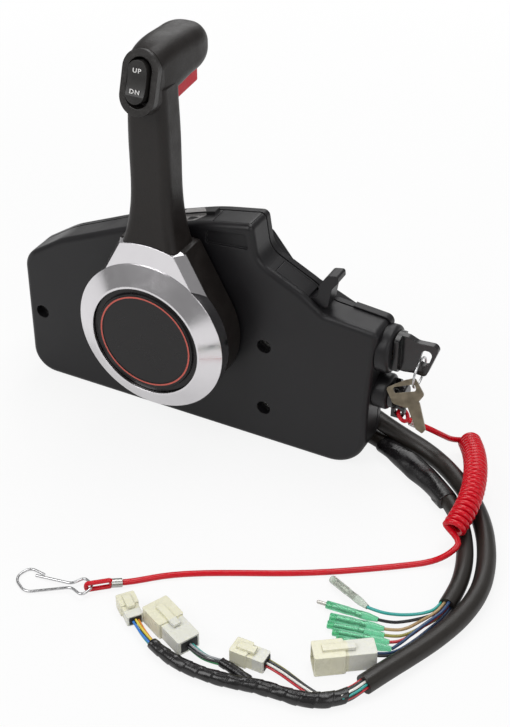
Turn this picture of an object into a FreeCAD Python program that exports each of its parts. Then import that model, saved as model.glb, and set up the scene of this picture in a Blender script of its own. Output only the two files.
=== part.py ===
# Side-mount boat throttle control: case, swinging lever, switches, lanyard and harness.
# Millimetres. X runs along the case, Y from the operator's side to the hull, Z up from the base.
# The origin is on the base, under the lever's pivot and midway through the case's depth.
import FreeCAD, Part
import math
import os

V = FreeCAD.Vector
os.makedirs("parts", exist_ok=True)

# Fits and clearances
running_gap = 0.05
sliding_gap = 0.3
seam_gap = 0.25
parting_gap = 0.3

# Case
case_front = -30.0
case_back = 30.0
parting_y = -10.0
rim_back = -4.0
wall = 3.0
front_shell = 4.0
front_round = 4.0
rim_raise = 1.3
upper_rim_start = 60.0
upper_wall_start = 35.0
beyond = 200.0
rim_start_x = 127.0
parting_groove = 0.9
plate_thick = 3.0

# Outline of the case seen from the front: x, z and corner radius
case_outline = [
    (-124.7, 0.0, 18.0),
    (-124.7, 99.0, 18.0),
    (-92.4, 120.5, 70.0),
    (-37.8, 144.6, 150.0),
    (25.3, 165.8, 150.0),
    (61.2, 172.6, 4.0),
    (65.2, 146.4, 15.0),
    (97.9, 130.1, 18.0),
    (113.3, 119.3, 9.0),
    (153.4, 115.8, 4.0),
    (148.8, 60.0, 60.0),
    (147.3, 0.0, 27.0),
]

# Outline of the deeper housing behind the rim
housing_outline = [
    (-124.0, 0.0, 12.0),
    (-124.0, 72.0, 10.0),
    (-90.0, 90.0, 30.0),
    (-38.0, 112.0, 60.0),
    (25.0, 135.0, 60.0),
    (46.0, 138.0, 8.0),
    (66.0, 113.0, 12.0),
    (100.0, 100.0, 20.0),
    (128.0, 88.0, 8.0),
    (128.0, 0.0, 10.0),
]

# Top panel and position plate let into the case's top
panel_left = 30.0
panel_right = 59.0
panel_thick = 2.2
panel_front = -26.0
plate_left = -6.0
plate_proud = 0.8

# Finger pocket under the top lip
pocket_outline = [
    (26.0, 151.0, 2.0),
    (28.0, 161.0, 2.0),
    (56.5, 165.0, 2.0),
    (58.5, 154.0, 2.0),
]
pocket_depth = 2.0

# Mounting bolts: x, z of each hole
mount_holes = [(-112.5, 53.8), (70.5, 80.8), (70.5, 28.6)]
bolt_hole_r = 3.3
sleeve_wall = 1.5
recess_r = 5.2
recess_depth = 8.0
pillar_wall = 2.2

# Screws that hold the back plate and the two case halves
screw_places = [(-100.0, 12.0), (20.0, 12.0), (116.0, 70.0), (-60.0, 92.0), (30.0, 125.0)]
screw_r = 2.0
screw_head_r = 3.6
screw_head_len = 2.4
screw_boss_r = 4.5
screw_length = 16.0

# Lever pivot and shaft
pivot_z = 86.7
shaft_r = 6.0
bush_wall = 2.0
bush_flange = 2.0
shaft_back = 29.0
front_hole_r = 12.0

# Hub
hub_r = 54.0
hub_back = -33.2
hub_front = -53.0
hub_wall = 4.0
hub_floor = 6.0
hub_boss_r = 15.0
rear_pocket_wall = 10.0
rear_pocket_r = hub_r - rear_pocket_wall
rear_pocket_depth = 8.0
flank_angle = 28.2

# Cap face: orange-red line, the step outside it and the shoulder that meets the cover's lip
ring_mid_r = 34.3
cap_step_margin = 2.9
cap_shoulder = 3.8
cap_step_r = ring_mid_r + cap_step_margin

# Chrome cover on the hub
cover_overhang = 1.8
cover_r = hub_r + cover_overhang
cover_edge_y = -62.5
cover_lip_r = cap_step_r + cap_shoulder
cover_lip_y = -70.0
cover_wall = 2.2
neck_front = -62.0
neck_band = 17.6
neck_joint_r = hub_r + neck_band
neck_back_drop = 3.4
neck_half_front = 20.4
neck_half_back = 24.4

# Cap in the middle of the cover
cap_clear = 0.4
cap_front = -69.4
cap_step = 1.8
cap_back = -63.0
ring_half_width = 0.9
ring_proud = 0.35

# Stem of the lever: height, half width, front and back
stem_seat = 5.3
stem_foot = pivot_z + neck_joint_r - stem_seat
stem_sections = [
    (stem_foot, 21.6, -62.0, hub_back),
    (stem_foot + 10.0, 18.6, -60.4, hub_back),
    (stem_foot + 25.0, 16.0, -58.4, hub_back),
    (205.0, 14.9, -57.0, hub_back),
    (252.0, 14.3, -57.0, hub_back),
    (268.0, 14.0, -57.0, hub_back),
]
stem_corner = 6.0

# Grip across the top: place along Y, half width, bottom and top
grip_sections = [
    (-59.0, 11.4, 256.5, 289.0),
    (-50.0, 12.8, 257.0, 293.2),
    (-36.0, 14.4, 258.5, 294.6),
    (-16.0, 15.2, 261.5, 293.5),
    (-4.0, 15.0, 262.5, 292.3),
    (4.0, 12.4, 264.6, 289.6),
    (8.5, 7.4, 269.0, 285.0),
]
grip_corner = 11.0

# Trim switch on the front of the grip
bezel_z = 273.6
bezel_y = -61.5
bezel_tilt = 17.6
bezel_half_width = 12.6
bezel_half_length = 20.9
bezel_thick = 5.0
bezel_clear = 12.0
slot_half_width = 8.4
slot_half_length = 16.0
switch_pocket = 8.0
rocker_half_width = 6.7
rocker_half_length = 13.6
rocker_proud = 3.6
rocker_root = 5.0
rocker_rise = 0.6
rocker_dish = 34.0
rocker_pin_r = 1.5
rocker_pin_depth = 6.0

# Neutral lock trigger under the grip
trigger_half_width = 6.8
trigger_front = -30.0
trigger_back = 0.5
trigger_low_front = 249.0
trigger_low_back = 251.5
trigger_top = 268.0
trigger_travel = 4.0
yoke_half = 4.5
yoke_reach = 4.0
yoke_low = 262.0
yoke_high = 267.0
rod_r = 2.5
rod_y = -44.0
rod_foot = 122.4
dog_half = 3.0
dog_back = -35.0
dog_height = 7.0
lock_ring_r = 34.8
lock_ring_bore = 21.0
lock_ring_front = -39.2
lock_notch_half = 4.0
lock_notch_depth = 6.0
spring_wire_r = 0.6
spring_mid_r = 3.6
spring_turns = 6
spring_low = 190.0
spring_high = 218.0
spring_room = 0.4
spring_collar = 1.6

# Gear train: one gear on the shaft drives the shift arm and the throttle arm
gear_teeth = 20
gear_module = 2.5
gear_backlash = 0.5
gear_front = -22.0
gear_width = 7.0
gear_spread = 45.0
arm_front = -13.5
arm_thick = 4.0
arm_reach = 22.0
arm_half = 6.0
arm_hole_r = 2.6
post_r = 4.0
post_collar = 7.0

# Detent wheel and its roller
detent_r = 16.0
detent_front = 4.0
detent_thick = 5.0
notch_r = 3.4
notch_angle = 30.0
nose_r = 2.6
leaf_thick = 0.8
leaf_reach = 25.0
leaf_foot = 5.0

# Key switch on the right end
lock_y = -13.0
lock_z = 96.6
lock_nut_r = 16.8
lock_nut_thick = 9.0
lock_nut_round = 3.0
lock_body_r = 8.0
lock_body_len = 40.0
rotor_r = 6.2
rotor_len = 30.0
end_wall_x = 142.0
switch_spacing = 35.1
stop_z = lock_z - switch_spacing
end_wall_low = stop_z - 17.5
end_wall_high = lock_z + 15.4
seat_bore = 60.0
seat_clear = 8.0
lock_face_x = 151.6
stop_face_x = 149.2

# Key: a moulded head on a flat blade
key_gap = 0.5
key_base_r = 14.0
key_base_thick = 3.6
key_head_half = 2.2
key_blade_half = 1.1
key_blade_height = 8.0
key_blade_len = 26.0
key_hole_x = 181.4
key_head_end = 189.4
pull_travel = 30.0

# Key ring and spare key: the ring's two rest points, and the spare key's lean
ring_wire_r = 0.8
ring_mid_radius = 10.6
ring_top = (178.5, lock_y, lock_z - 1.7)
ring_low = (177.5, lock_y - 8.7, lock_z - 19.1)
spare_half = 0.8
spare_lean = 25.0
# Spare key's outlines about the ring's low point: along X, up, and corner radius
spare_head = [
    (-18.4, -5.6, 2.0), (-7.4, 2.6, 4.0), (-0.4, 6.2, 2.2), (8.4, -3.2, 2.4),
    (5.0, -9.8, 3.0), (-1.2, -15.0, 2.0), (-11.4, -14.6, 3.0),
]
spare_blade = [
    (-4.0, -9.6, 1.0), (6.2, -8.8, 1.0), (14.4, -25.4, 0.6), (12.8, -28.6, 0.8), (8.0, -27.0, 0.6),
]
spare_slot = [
    (-14.0, -4.0, 1.8), (0.9, 2.2, 1.9), (2.7, -2.2, 1.9), (-12.2, -7.8, 1.8),
]
spare_slot_reach = 3.0

# Stop switch, its button and the lanyard's clip
stop_y = -13.0
stop_body_r = 12.6
stop_body_end = 159.6
stop_inner_r = 8.0
stop_inner_len = 24.0
stop_rim_round = 2.5
button_stem_r = 4.2
button_head_r = 8.2
button_head_front = 170.0
button_head_thick = 4.6
clip_thick = 3.6
clip_gap = 0.4
clip_r = 10.4
clip_lug_half = 2.0
clip_lug_end = 169.6
clip_lug_low = stop_z - 18.9
clip_lug_high = stop_z - 8.9
clip_eye = (165.0, stop_z - 14.1)
clip_eye_r = 3.0
eye_loop_r = 4.4
eye_cord_r = 1.4
hook_loop_half = 2.6
hook_loop_near = 1.0
hook_loop_far = 12.0
hook_cord_r = 1.5
hook_wire_r = 0.9
hook_ferrule_r = 2.9
ferrule_r = 3.4
ferrule_start = 2.2
ferrule_end = 8.4

# Free accelerator: a hinged strip of the case's top with a thumb tab
accelerator_pivot = (82.0, 134.6)
accelerator_left = 74.0
accelerator_end_r = 8.0
accelerator_lug_r = 3.6
accelerator_right = 101.0
accelerator_thick = 2.4
tab_slot_reach = 14.5
accelerator_pin_r = 1.6
accelerator_pin_start = -28.0
tab_inset = 0.6
accelerator_front = -25.0
accelerator_back = -12.0
tab_outline = [
    (99.0, 124.4, 1.0),
    (107.0, 129.5, 5.0),
    (108.2, 138.5, 5.0),
    (113.5, 146.8, 4.0),
    (121.2, 148.4, 1.6),
    (121.6, 143.6, 2.0),
    (117.0, 137.2, 4.0),
    (114.8, 122.5, 2.0),
    (110.5, 121.6, 1.0),
]

# Harness
thick_sleeve_r = 6.3
thin_sleeve_r = 5.6
tail_r = 4.2
branch_r = 3.0
lanyard_r = 2.0
coil_r = 8.4
wire_r = 1.0
small_bundle_r = 2.3
pair_bundle_r = 2.4
triple_bundle_r = 2.6
large_bundle_r = 1.8
grommet_wall = 1.6
grommet_length = 8.0

# Connectors: place of the middle, turn about Z, length, width, height
connectors = {
    "connector_small": (76.6, -222.4, -40.0, 20.6, 12.0, 9.0),
    "connector_wide": (107.5, -224.5, -26.0, 38.0, 18.0, 12.0),
    "connector_mid": (161.0, -224.0, 0.0, 22.5, 12.5, 11.0),
    "connector_large": (211.3, -200.0, 35.0, 38.0, 15.0, 15.0),
}
connector_wall = 1.3
connector_depth = 0.35
connector_narrow = 0.86
connector_flange = 1.0
connector_round = 1.2
latch_width = 5.0
latch_height = 1.4

# Bullet terminals: tip and wire end of each sleeve
bullets = [
    ((175.6, -139.6, 3.0), (207.1, -156.3, 7.4)),
    ((181.9, -161.2, 2.6), (215.6, -158.6, 2.6)),
    ((188.3, -169.9, 2.6), (222.0, -164.1, 2.6)),
    ((189.6, -176.4, 2.6), (224.2, -168.9, 2.6)),
    ((195.0, -180.6, 2.6), (229.2, -172.9, 2.6)),
    ((199.6, -185.0, 2.6), (232.6, -177.4, 2.6)),
]
pinned_bullet = 1
bullet_r = 2.5
bullet_tail_r = 1.5
bullet_tail = 7.0
pin_r = 1.2
pin_reach = 6.5

# Routes: points chosen by hand
thick_route = [
    (124, 9.3, 25), (138, 6.6, 21), (152, 5.3, 16), (166, 5.2, 10.8), (180.5, 3.5, 7.4),
    (196, -3.6, 6.3), (212, -15.4, 6.3), (227.5, -30, 6.3), (241, -47, 6.3), (251.5, -66, 6.3),
    (259.5, -88, 6.3), (263.8, -111, 6.3), (261.6, -136, 6.3), (254.5, -160, 6.3),
    (245.5, -181, 6.3), (237.5, -198, 6.3), (230.6, -214, 6.2),
]
thin_route = [
    (124, 6, 6.6), (139, 3.6, 6), (154, -2, 5.6), (171, -10.6, 5.6), (188, -19, 5.6),
    (204, -29, 5.6), (218, -41.5, 5.6), (229.5, -55, 5.6), (238, -70, 5.6), (244.4, -86, 5.6),
    (248.4, -102, 5.6), (250, -117, 5.6), (249.6, -131, 5.6),
]
tail_route = [
    (230.6, -214, 6.2), (227, -222, 5.4), (220.5, -229.5, 4.6), (212, -235.5, 4.2), (201, -239.5, 4.2),
    (188, -240.6, 4.2), (175, -242, 4.2), (161, -245.6, 4.2), (147, -247.8, 4.2),
    (132, -248.2, 4.2), (117, -246, 4.2), (103.5, -241, 4.2),
]
branch_route = [(168.5, -239.5, 3.4), (161, -237.6, 3.1), (154, -235.4, 3.1), (147, -234.2, 3.1)]
small_wires_route = [(85.2, -229.6, 4.6), (90.6, -233.6, 4.4), (97, -237.6, 4.2), (103.5, -241, 4.2)]
wide_wires_route = [(124.6, -232.8, 5.4), (131.6, -235, 4.2), (139.4, -235.6, 3.2), (147, -234.2, 3.1)]
mid_wires_route = [
    (172.3, -224, 5.4), (181.5, -225, 4.6), (192, -228.4, 4.6), (202.5, -232.2, 5.2), (212, -234.2, 5),
]
large_wires_route = [
    (226.9, -189.1, 6), (232.8, -185.6, 4.8), (237.6, -178.4, 3.4), (241.2, -169.8, 2.8),
    (244.8, -160.6, 3), (248, -151, 3.6), (251.6, -141.2, 4.4), (252.7, -131, 4.9),
]
bullet_routes = [
    [(207.1, -156.3, 7.4), (215.5, -157.6, 8.2), (225, -154.8, 7.8), (234, -149.6, 7.2),
     (241.4, -143.4, 7), (245.2, -137, 6.7), (245.7, -131, 6.5)],
    [(215.6, -158.6, 2.6), (223.4, -157.4, 2.4), (231.4, -153, 3.2), (238.8, -147.4, 4.2),
     (244, -141.4, 4.2), (246.6, -136.6, 4), (246.7, -131, 4)],
    [(222, -164.1, 2.6), (228.6, -161.4, 1.8), (234.2, -156.4, 1.8), (239, -150.4, 4),
     (244.2, -145.4, 7.2), (247.4, -138.4, 8), (247.9, -131, 7.5)],
    [(224.2, -168.9, 2.6), (231, -166.2, 1.8), (236.6, -160.4, 1.8), (241, -152.6, 2),
     (245.4, -145, 2.2), (248.8, -138, 2.6), (249.1, -131, 2.7)],
    [(229.2, -172.9, 2.6), (234.4, -169.8, 2.4), (238.4, -163.4, 3.4), (242.2, -155.4, 4.8),
     (246.2, -146.8, 5.6), (249.2, -138.8, 5.8), (249.8, -131, 5.6)],
    [(232.6, -177.4, 2.6), (236.6, -172.4, 5), (239.8, -164.6, 6.8), (243.4, -156, 8),
     (247.4, -147, 8.8), (250.4, -138.8, 9), (250.6, -131, 9)],
]
lead_route = [
    (171.4, -11.4, 41), (183.4, -3.8, 33), (191, 6, 22.6), (195.4, 16, 13), (199, 24.6, 9.4),
]
coil_route = [
    (205, 24.5, 9.2), (212.4, 11.6, 13.6), (220.4, -6.4, 18.8), (226.6, -23.6, 22), (230.6, -39, 22),
    (232.6, -53.4, 21.8), (232.6, -65.6, 20), (231.4, -76, 17.6),
]
long_route = [
    (235, -66.5, 20.8), (238, -73.4, 17.6), (239, -80.6, 13.4), (235.6, -87, 8.6),
    (229.4, -92.4, 4.2), (221.6, -98, 2), (211.8, -105.4, 2), (200.4, -113.6, 2), (185, -124.2, 2),
    (166, -136.6, 2), (144, -149, 2), (121, -160.4, 2), (98, -172.4, 2), (80, -184, 2),
    (67.4, -195.6, 2), (60.6, -202.4, 2.9), (53, -208.8, 4.2),
]

# Snap hook's wire: points with the radius of each bend
hook_route = [
    (6, -221.4, 1, 0), (31.5, -218.8, 3, 6), (36.4, -211.2, 3.6, 3), (45.6, -215, 4.2, 4.5),
    (43.6, -226, 4, 3.2), (33, -221.8, 3, 6), (8, -237.2, 1, 8), (-5.6, -229, 1, 8),
    (-1, -217.2, 1, 5), (10.5, -218.4, 1.2, 0),
]


def corner_arc(before, corner, after, radius):
    # Tangent points and middle of the arc that rounds one corner of a path.
    back = (before - corner).normalize()
    ahead = (after - corner).normalize()
    half = back.getAngle(ahead) / 2
    setback = radius / math.tan(half)
    first = corner + back * setback
    last = corner + ahead * setback
    inward = (back + ahead).normalize()
    middle = corner + inward * (radius / math.sin(half) - radius)
    return first, middle, last


def outline_wire(points, y):
    # Closed outline in a plane of constant y, each corner rounded by its own radius.
    corners = [V(x, y, z) for x, z, r in points]
    count = len(corners)
    arcs = []
    for i in range(count):
        arcs.append(corner_arc(corners[i - 1], corners[i], corners[(i + 1) % count], points[i][2]))
    edges = []
    for i in range(count):
        first, middle, last = arcs[i]
        edges.append(Part.Arc(first, middle, last).toShape())
        following = arcs[(i + 1) % count][0]
        if last.distanceToPoint(following) > 1e-6:
            edges.append(Part.LineSegment(last, following).toShape())
    return Part.Wire(edges)


def prism(points, y0, y1, grow=0.0):
    # Outline pushed out along Y, after it is grown or shrunk all round.
    wire = outline_wire(points, y0)
    if grow:
        wire = wire.makeOffset2D(grow)
    return Part.Face(wire).extrude(V(0, y1 - y0, 0))


def box(x0, x1, y0, y1, z0, z1):
    return Part.makeBox(x1 - x0, y1 - y0, z1 - z0, V(x0, y0, z0))


def rod_x(y, z, r, x0, x1):
    return Part.makeCylinder(r, x1 - x0, V(x0, y, z), V(1, 0, 0))


def rod_y_axis(x, z, r, y0, y1):
    return Part.makeCylinder(r, y1 - y0, V(x, y0, z), V(0, 1, 0))


def rod_z(x, y, r, z0, z1):
    return Part.makeCylinder(r, z1 - z0, V(x, y, z0), V(0, 0, 1))


def turned(points, x, z):
    # Solid of revolution about the Y line at x, z from (radius, y) points.
    corners = [V(x + r, y, z) for r, y in points]
    face = Part.Face(Part.makePolygon(corners + corners[:1]))
    return face.revolve(V(x, 0, z), V(0, 1, 0), 360)


def rounded_section(a0, a1, b0, b1, radius, place):
    # Rounded rectangle of four lines and four arcs; place turns (a, b) into a point.
    r = min(radius, (a1 - a0) / 2 - 0.2, (b1 - b0) / 2 - 0.2)
    slant = r * (1 - math.sqrt(0.5))
    runs = [
        ((a0 + r, b0), (a1 - r, b0), (a1 - slant, b0 + slant), (a1, b0 + r)),
        ((a1, b0 + r), (a1, b1 - r), (a1 - slant, b1 - slant), (a1 - r, b1)),
        ((a1 - r, b1), (a0 + r, b1), (a0 + slant, b1 - slant), (a0, b1 - r)),
        ((a0, b1 - r), (a0, b0 + r), (a0 + slant, b0 + slant), (a0 + r, b0)),
    ]
    edges = []
    for start, end, middle, last in runs:
        edges.append(Part.LineSegment(place(*start), place(*end)).toShape())
        edges.append(Part.Arc(place(*end), place(*middle), place(*last)).toShape())
    return Part.Wire(edges)


def cord_tube(name, route, radius, factor=0.45):
    # Tube along straight runs joined by arcs as large as the runs allow.
    points = [V(*p) for p in route]
    edges = []
    start = points[0]
    length = 0.0
    radii = []
    for i in range(1, len(points) - 1):
        before, corner, after = points[i - 1], points[i], points[i + 1]
        run_in = corner.distanceToPoint(before)
        run_out = corner.distanceToPoint(after)
        turn = math.pi - (before - corner).getAngle(after - corner)
        bend = factor * min(run_in, run_out) / math.tan(turn / 2)
        first, middle, last = corner_arc(before, corner, after, bend)
        edges.append(Part.LineSegment(start, first).toShape())
        edges.append(Part.Arc(first, middle, last).toShape())
        length += start.distanceToPoint(first) + bend * turn
        radii.append(round(bend, 1))
        start = last
    edges.append(Part.LineSegment(start, points[-1]).toShape())
    length += start.distanceToPoint(points[-1])
    section = Part.Wire(Part.Circle(points[0], points[1] - points[0], radius).toShape())
    tube = Part.Wire(edges).makePipeShell([section], True, False)
    ratio = tube.Volume / (math.pi * radius * radius * length)
    print(name, "length", round(length, 1), "volume ratio", round(ratio, 4), "bend radii", radii)
    return tube


def group(solids):
    return Part.makeCompound(solids)


def save(name, shape):
    shape.exportStep("parts/" + name + ".step")
    print(name, "solids", len(shape.Solids), "valid", shape.isValid(), "volume", round(shape.Volume, 1))


def turn_about_pivot(shape, angle):
    copy = shape.copy()
    copy.rotate(V(0, 0, pivot_z), V(0, 1, 0), angle)
    return copy


# Case halves and what is let into them

def skin_band(x0, x1, y0, y1, thick, proud=0.0):
    # Strip of the case's top wall between two x places.
    outer = prism(case_outline, y0, y1, proud)
    inner = prism(case_outline, y0, y1, -thick)
    return outer.cut(inner).common(box(x0, x1, y0, y1, pivot_z + upper_wall_start, beyond))


def accelerator_slot():
    # Opening for the hinged strip: the strip's own left end is an arc about its pin.
    px, pz = accelerator_pivot
    front = accelerator_front - seam_gap
    back = accelerator_back + seam_gap
    band = skin_band(px, accelerator_right + tab_slot_reach, front, back, front_shell + 1.0)
    return band.fuse(rod_y_axis(px, pz, accelerator_end_r + seam_gap, front, back))


def front_case():
    body = prism(case_outline, case_front, parting_y)
    front_edges = []
    for edge in body.Edges:
        if all(abs(v.Y - case_front) < 1e-6 for v in edge.Vertexes):
            front_edges.append(edge)
    body = body.makeFillet(front_round, front_edges)
    body = body.cut(prism(case_outline, case_front + front_shell, parting_y, -front_shell))
    px, pz = accelerator_pivot
    lug = rod_y_axis(px, pz, accelerator_lug_r, case_front + wall, parting_y)
    end_wall = box(end_wall_x, lock_face_x, case_front + wall, parting_y, end_wall_low, end_wall_high)
    body = body.fuse(lug.fuse(end_wall).common(prism(case_outline, case_front, parting_y)))
    plate_y = case_back - plate_thick
    for x, z in mount_holes:
        body = body.fuse(rod_y_axis(x, z, recess_r + pillar_wall, case_front + wall, plate_y))
    for x, z in screw_places:
        body = body.fuse(rod_y_axis(x, z, screw_boss_r, case_front + wall, plate_y))
    body = body.fuse(rod_y_axis(0, pivot_z, shaft_r + bush_wall + 4.0, case_front + wall, gear_front - 1.0))
    for x, z in mount_holes:
        body = body.cut(rod_y_axis(x, z, recess_r, case_front, case_front + recess_depth))
        body = body.cut(rod_y_axis(x, z, bolt_hole_r + sleeve_wall + running_gap, case_front, plate_y))
    for x, z in screw_places:
        body = body.cut(rod_y_axis(x, z, screw_r, case_back - screw_head_len - screw_length - 1.0, plate_y))
    body = body.cut(rod_y_axis(0, pivot_z, shaft_r + bush_wall, case_front, gear_front))
    body = body.cut(skin_band(panel_left, panel_right, panel_front, parting_y, panel_thick))
    body = body.cut(skin_band(plate_left, panel_left, panel_front, parting_y, panel_thick))
    body = body.cut(prism(pocket_outline, case_front, case_front + pocket_depth))
    body = body.cut(accelerator_slot())
    body = body.cut(rod_y_axis(px, pz, accelerator_pin_r, accelerator_pin_start, parting_y))
    return cut_switch_seats(body)


def cut_switch_seats(body):
    # Round holes for the key switch and stop switch, with flat seats for their collars.
    body = body.cut(rod_x(lock_y, lock_z, lock_body_r + running_gap, lock_face_x - seat_bore, lock_face_x + seat_clear))
    body = body.cut(rod_x(lock_y, lock_z, lock_nut_r + seam_gap, lock_face_x, lock_face_x + seat_clear))
    body = body.cut(rod_x(stop_y, stop_z, stop_inner_r + running_gap, stop_face_x - seat_bore, stop_face_x + seat_clear))
    return body.cut(rod_x(stop_y, stop_z, stop_body_r + seam_gap, stop_face_x, stop_face_x + seat_clear))


def rear_case():
    rim = prism(case_outline, parting_y + parting_gap, rim_back)
    lip = prism(case_outline, parting_y + parting_gap, rim_back, rim_raise)
    lip = lip.common(box(rim_start_x, beyond, parting_y, rim_back, upper_rim_start, beyond))
    groove = prism(case_outline, parting_y, parting_y + parting_gap + 1.0)
    groove = groove.cut(prism(case_outline, parting_y, parting_y + parting_gap + 1.0, -parting_groove))
    housing = prism(housing_outline, rim_back, case_back - plate_thick)
    body = rim.cut(groove).fuse(lip).fuse(housing)
    body = body.cut(prism(housing_outline, parting_y, case_back - plate_thick, -wall))
    for x, z in mount_holes:
        body = body.cut(rod_y_axis(x, z, recess_r + pillar_wall + seam_gap, parting_y, case_back))
    body = body.cut(harness_bore(grommet_wall + running_gap))
    return cut_switch_seats(body)


def harness_bore(grow):
    # Two round passages side by side, following the sleeves' first runs.
    thick = first_run(thick_route, thick_sleeve_r + grow)
    thin = first_run(thin_route, thin_sleeve_r + grow)
    return thick.fuse(thin)


def first_run(route, radius):
    start = V(*route[0])
    ahead = V(*route[1]) - start
    back = start - ahead * 0.2
    return Part.makeCylinder(radius, grommet_length + ahead.Length * 0.2, back, ahead)


def harness_grommet():
    block = harness_bore(grommet_wall)
    return block.cut(harness_bore(0.0)).removeSplitter()


def back_plate():
    plate = prism(housing_outline, case_back - plate_thick, case_back, -0.5)
    for x, z in mount_holes:
        plate = plate.cut(rod_y_axis(x, z, bolt_hole_r + sleeve_wall + running_gap, 0, case_back))
    for x, z in screw_places:
        plate = plate.cut(rod_y_axis(x, z, screw_r + running_gap, 0, case_back))
        plate = plate.cut(Part.makeCone(screw_r, screw_head_r, screw_head_len,
                                        V(x, case_back - screw_head_len, z), V(0, 1, 0)))
    plate = plate.cut(rod_y_axis(0, pivot_z, shaft_r + bush_wall, 0, case_back))
    return plate


def back_screws():
    screws = []
    for x, z in screw_places:
        head_y = case_back - screw_head_len
        head = Part.makeCone(screw_r, screw_head_r, screw_head_len, V(x, head_y, z), V(0, 1, 0))
        shank = rod_y_axis(x, z, screw_r, head_y - screw_length, head_y)
        drive = box(x - 2.4, x + 2.4, case_back - 1.2, case_back, z - 0.4, z + 0.4)
        drive = drive.fuse(box(x - 0.4, x + 0.4, case_back - 1.2, case_back, z - 2.4, z + 2.4))
        screws.append(head.fuse(shank).cut(drive).removeSplitter())
    return group(screws)


def mount_sleeves():
    sleeves = []
    for x, z in mount_holes:
        y0 = case_front + recess_depth
        tube = rod_y_axis(x, z, bolt_hole_r + sleeve_wall, y0, case_back)
        sleeves.append(tube.cut(rod_y_axis(x, z, bolt_hole_r, y0, case_back)))
    return group(sleeves)


def top_panel():
    return skin_band(panel_left + seam_gap, panel_right - seam_gap, panel_front + seam_gap,
                     parting_y, panel_thick)


def position_plate():
    plate = skin_band(plate_left, panel_left - seam_gap, panel_front + seam_gap, parting_y, panel_thick, 0.0)
    raised = skin_band(plate_left, panel_left - 3.0, parting_y - 7.0, parting_y, panel_thick, plate_proud + 1.6)
    return plate.fuse(raised).removeSplitter()


# Lever

def keyhole(radius, half_top, top_z, y0, y1):
    # Disc about the pivot with straight flanks that lean in up to the stem.
    disc = rod_y_axis(0, pivot_z, radius, y0, y1)
    angle = math.radians(90 - flank_angle)
    side_x = radius * math.sin(angle)
    side_z = pivot_z + radius * math.cos(angle)
    corners = [V(-side_x, y0, side_z), V(side_x, y0, side_z), V(half_top, y0, top_z), V(-half_top, y0, top_z)]
    neck = Part.Face(Part.makePolygon(corners + corners[:1])).extrude(V(0, y1 - y0, 0))
    return disc.fuse(neck).removeSplitter()


def stem():
    wires = []
    for z, half, front, back in stem_sections:
        wires.append(rounded_section(-half, half, front, back, stem_corner, lambda a, b, z=z: V(a, b, z)))
    return Part.makeLoft(wires, True, False)


def grip():
    wires = []
    for y, half, low, high in grip_sections:
        wires.append(rounded_section(-half, half, low, high, grip_corner, lambda a, b, y=y: V(a, y, b)))
    return Part.makeLoft(wires, True, False)


def stadium(half_width, half_length, depth0, depth1, rise=0.0):
    # Oval block square to the trim switch's leaning face; depth is measured behind that face.
    straight = half_length - half_width
    a = V(-half_width, 0, -straight + rise)
    b = V(-half_width, 0, straight + rise)
    c = V(half_width, 0, straight + rise)
    d = V(half_width, 0, -straight + rise)
    edges = [
        Part.LineSegment(a, b).toShape(),
        Part.Arc(b, V(0, 0, half_length + rise), c).toShape(),
        Part.LineSegment(c, d).toShape(),
        Part.Arc(d, V(0, 0, -half_length + rise), a).toShape(),
    ]
    block = Part.Face(Part.Wire(edges)).extrude(V(0, depth1 - depth0, 0))
    block.translate(V(0, depth0, 0))
    return lean(block)


def lean(shape):
    # Place a shape made at the origin on the trim switch's face, leaning back at the top.
    shape.rotate(V(0, 0, 0), V(1, 0, 0), -bezel_tilt)
    shape.translate(V(0, bezel_y, bezel_z))
    return shape


def lever_arm():
    top_half = neck_half_back
    body = keyhole(hub_r, top_half, pivot_z + neck_joint_r - neck_back_drop, hub_front, hub_back)
    cavity = keyhole(hub_r - hub_wall, top_half - hub_wall, pivot_z + neck_joint_r - 12, hub_front,
                     hub_back - hub_floor - rear_pocket_depth + 2.0)
    body = body.cut(cavity)
    body = body.cut(rod_y_axis(0, pivot_z, rear_pocket_r, hub_back - rear_pocket_depth, hub_back))
    body = body.fuse(rod_y_axis(0, pivot_z, hub_boss_r, hub_front, hub_back - 2.0))
    body = body.fuse(stem()).fuse(grip())
    collar = stadium(bezel_half_width, bezel_half_length, bezel_thick, bezel_thick + 6.0)
    body = body.fuse(collar).removeSplitter()
    body = body.cut(stadium(bezel_half_width, bezel_half_length, -bezel_clear, bezel_thick))
    body = body.cut(stadium(slot_half_width, slot_half_length, bezel_thick, bezel_thick + switch_pocket))
    body = body.cut(rod_y_axis(0, pivot_z, shaft_r, hub_front - 2, hub_back))
    spring_bore = spring_mid_r + spring_wire_r + spring_room
    body = body.cut(rod_z(0, rod_y, spring_bore, spring_low - spring_collar - 1.0, spring_high))
    body = body.cut(rod_z(0, rod_y, rod_r + sliding_gap, rod_foot, trigger_top + trigger_travel))
    body = body.cut(box(-dog_half - 0.4, dog_half + 0.4, rod_y - 3.2, hub_back,
                        rod_foot - 2.0, rod_foot + dog_height + trigger_travel + 1.0))
    room = sliding_gap
    body = body.cut(box(-trigger_half_width - room, trigger_half_width + room, trigger_front - room,
                        trigger_back + room, trigger_low_front - 4, trigger_top + trigger_travel + room))
    return body.cut(box(-yoke_half - room, yoke_half + room, rod_y - yoke_reach - room, trigger_front,
                        yoke_low - room, yoke_high + trigger_travel + room))


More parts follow.
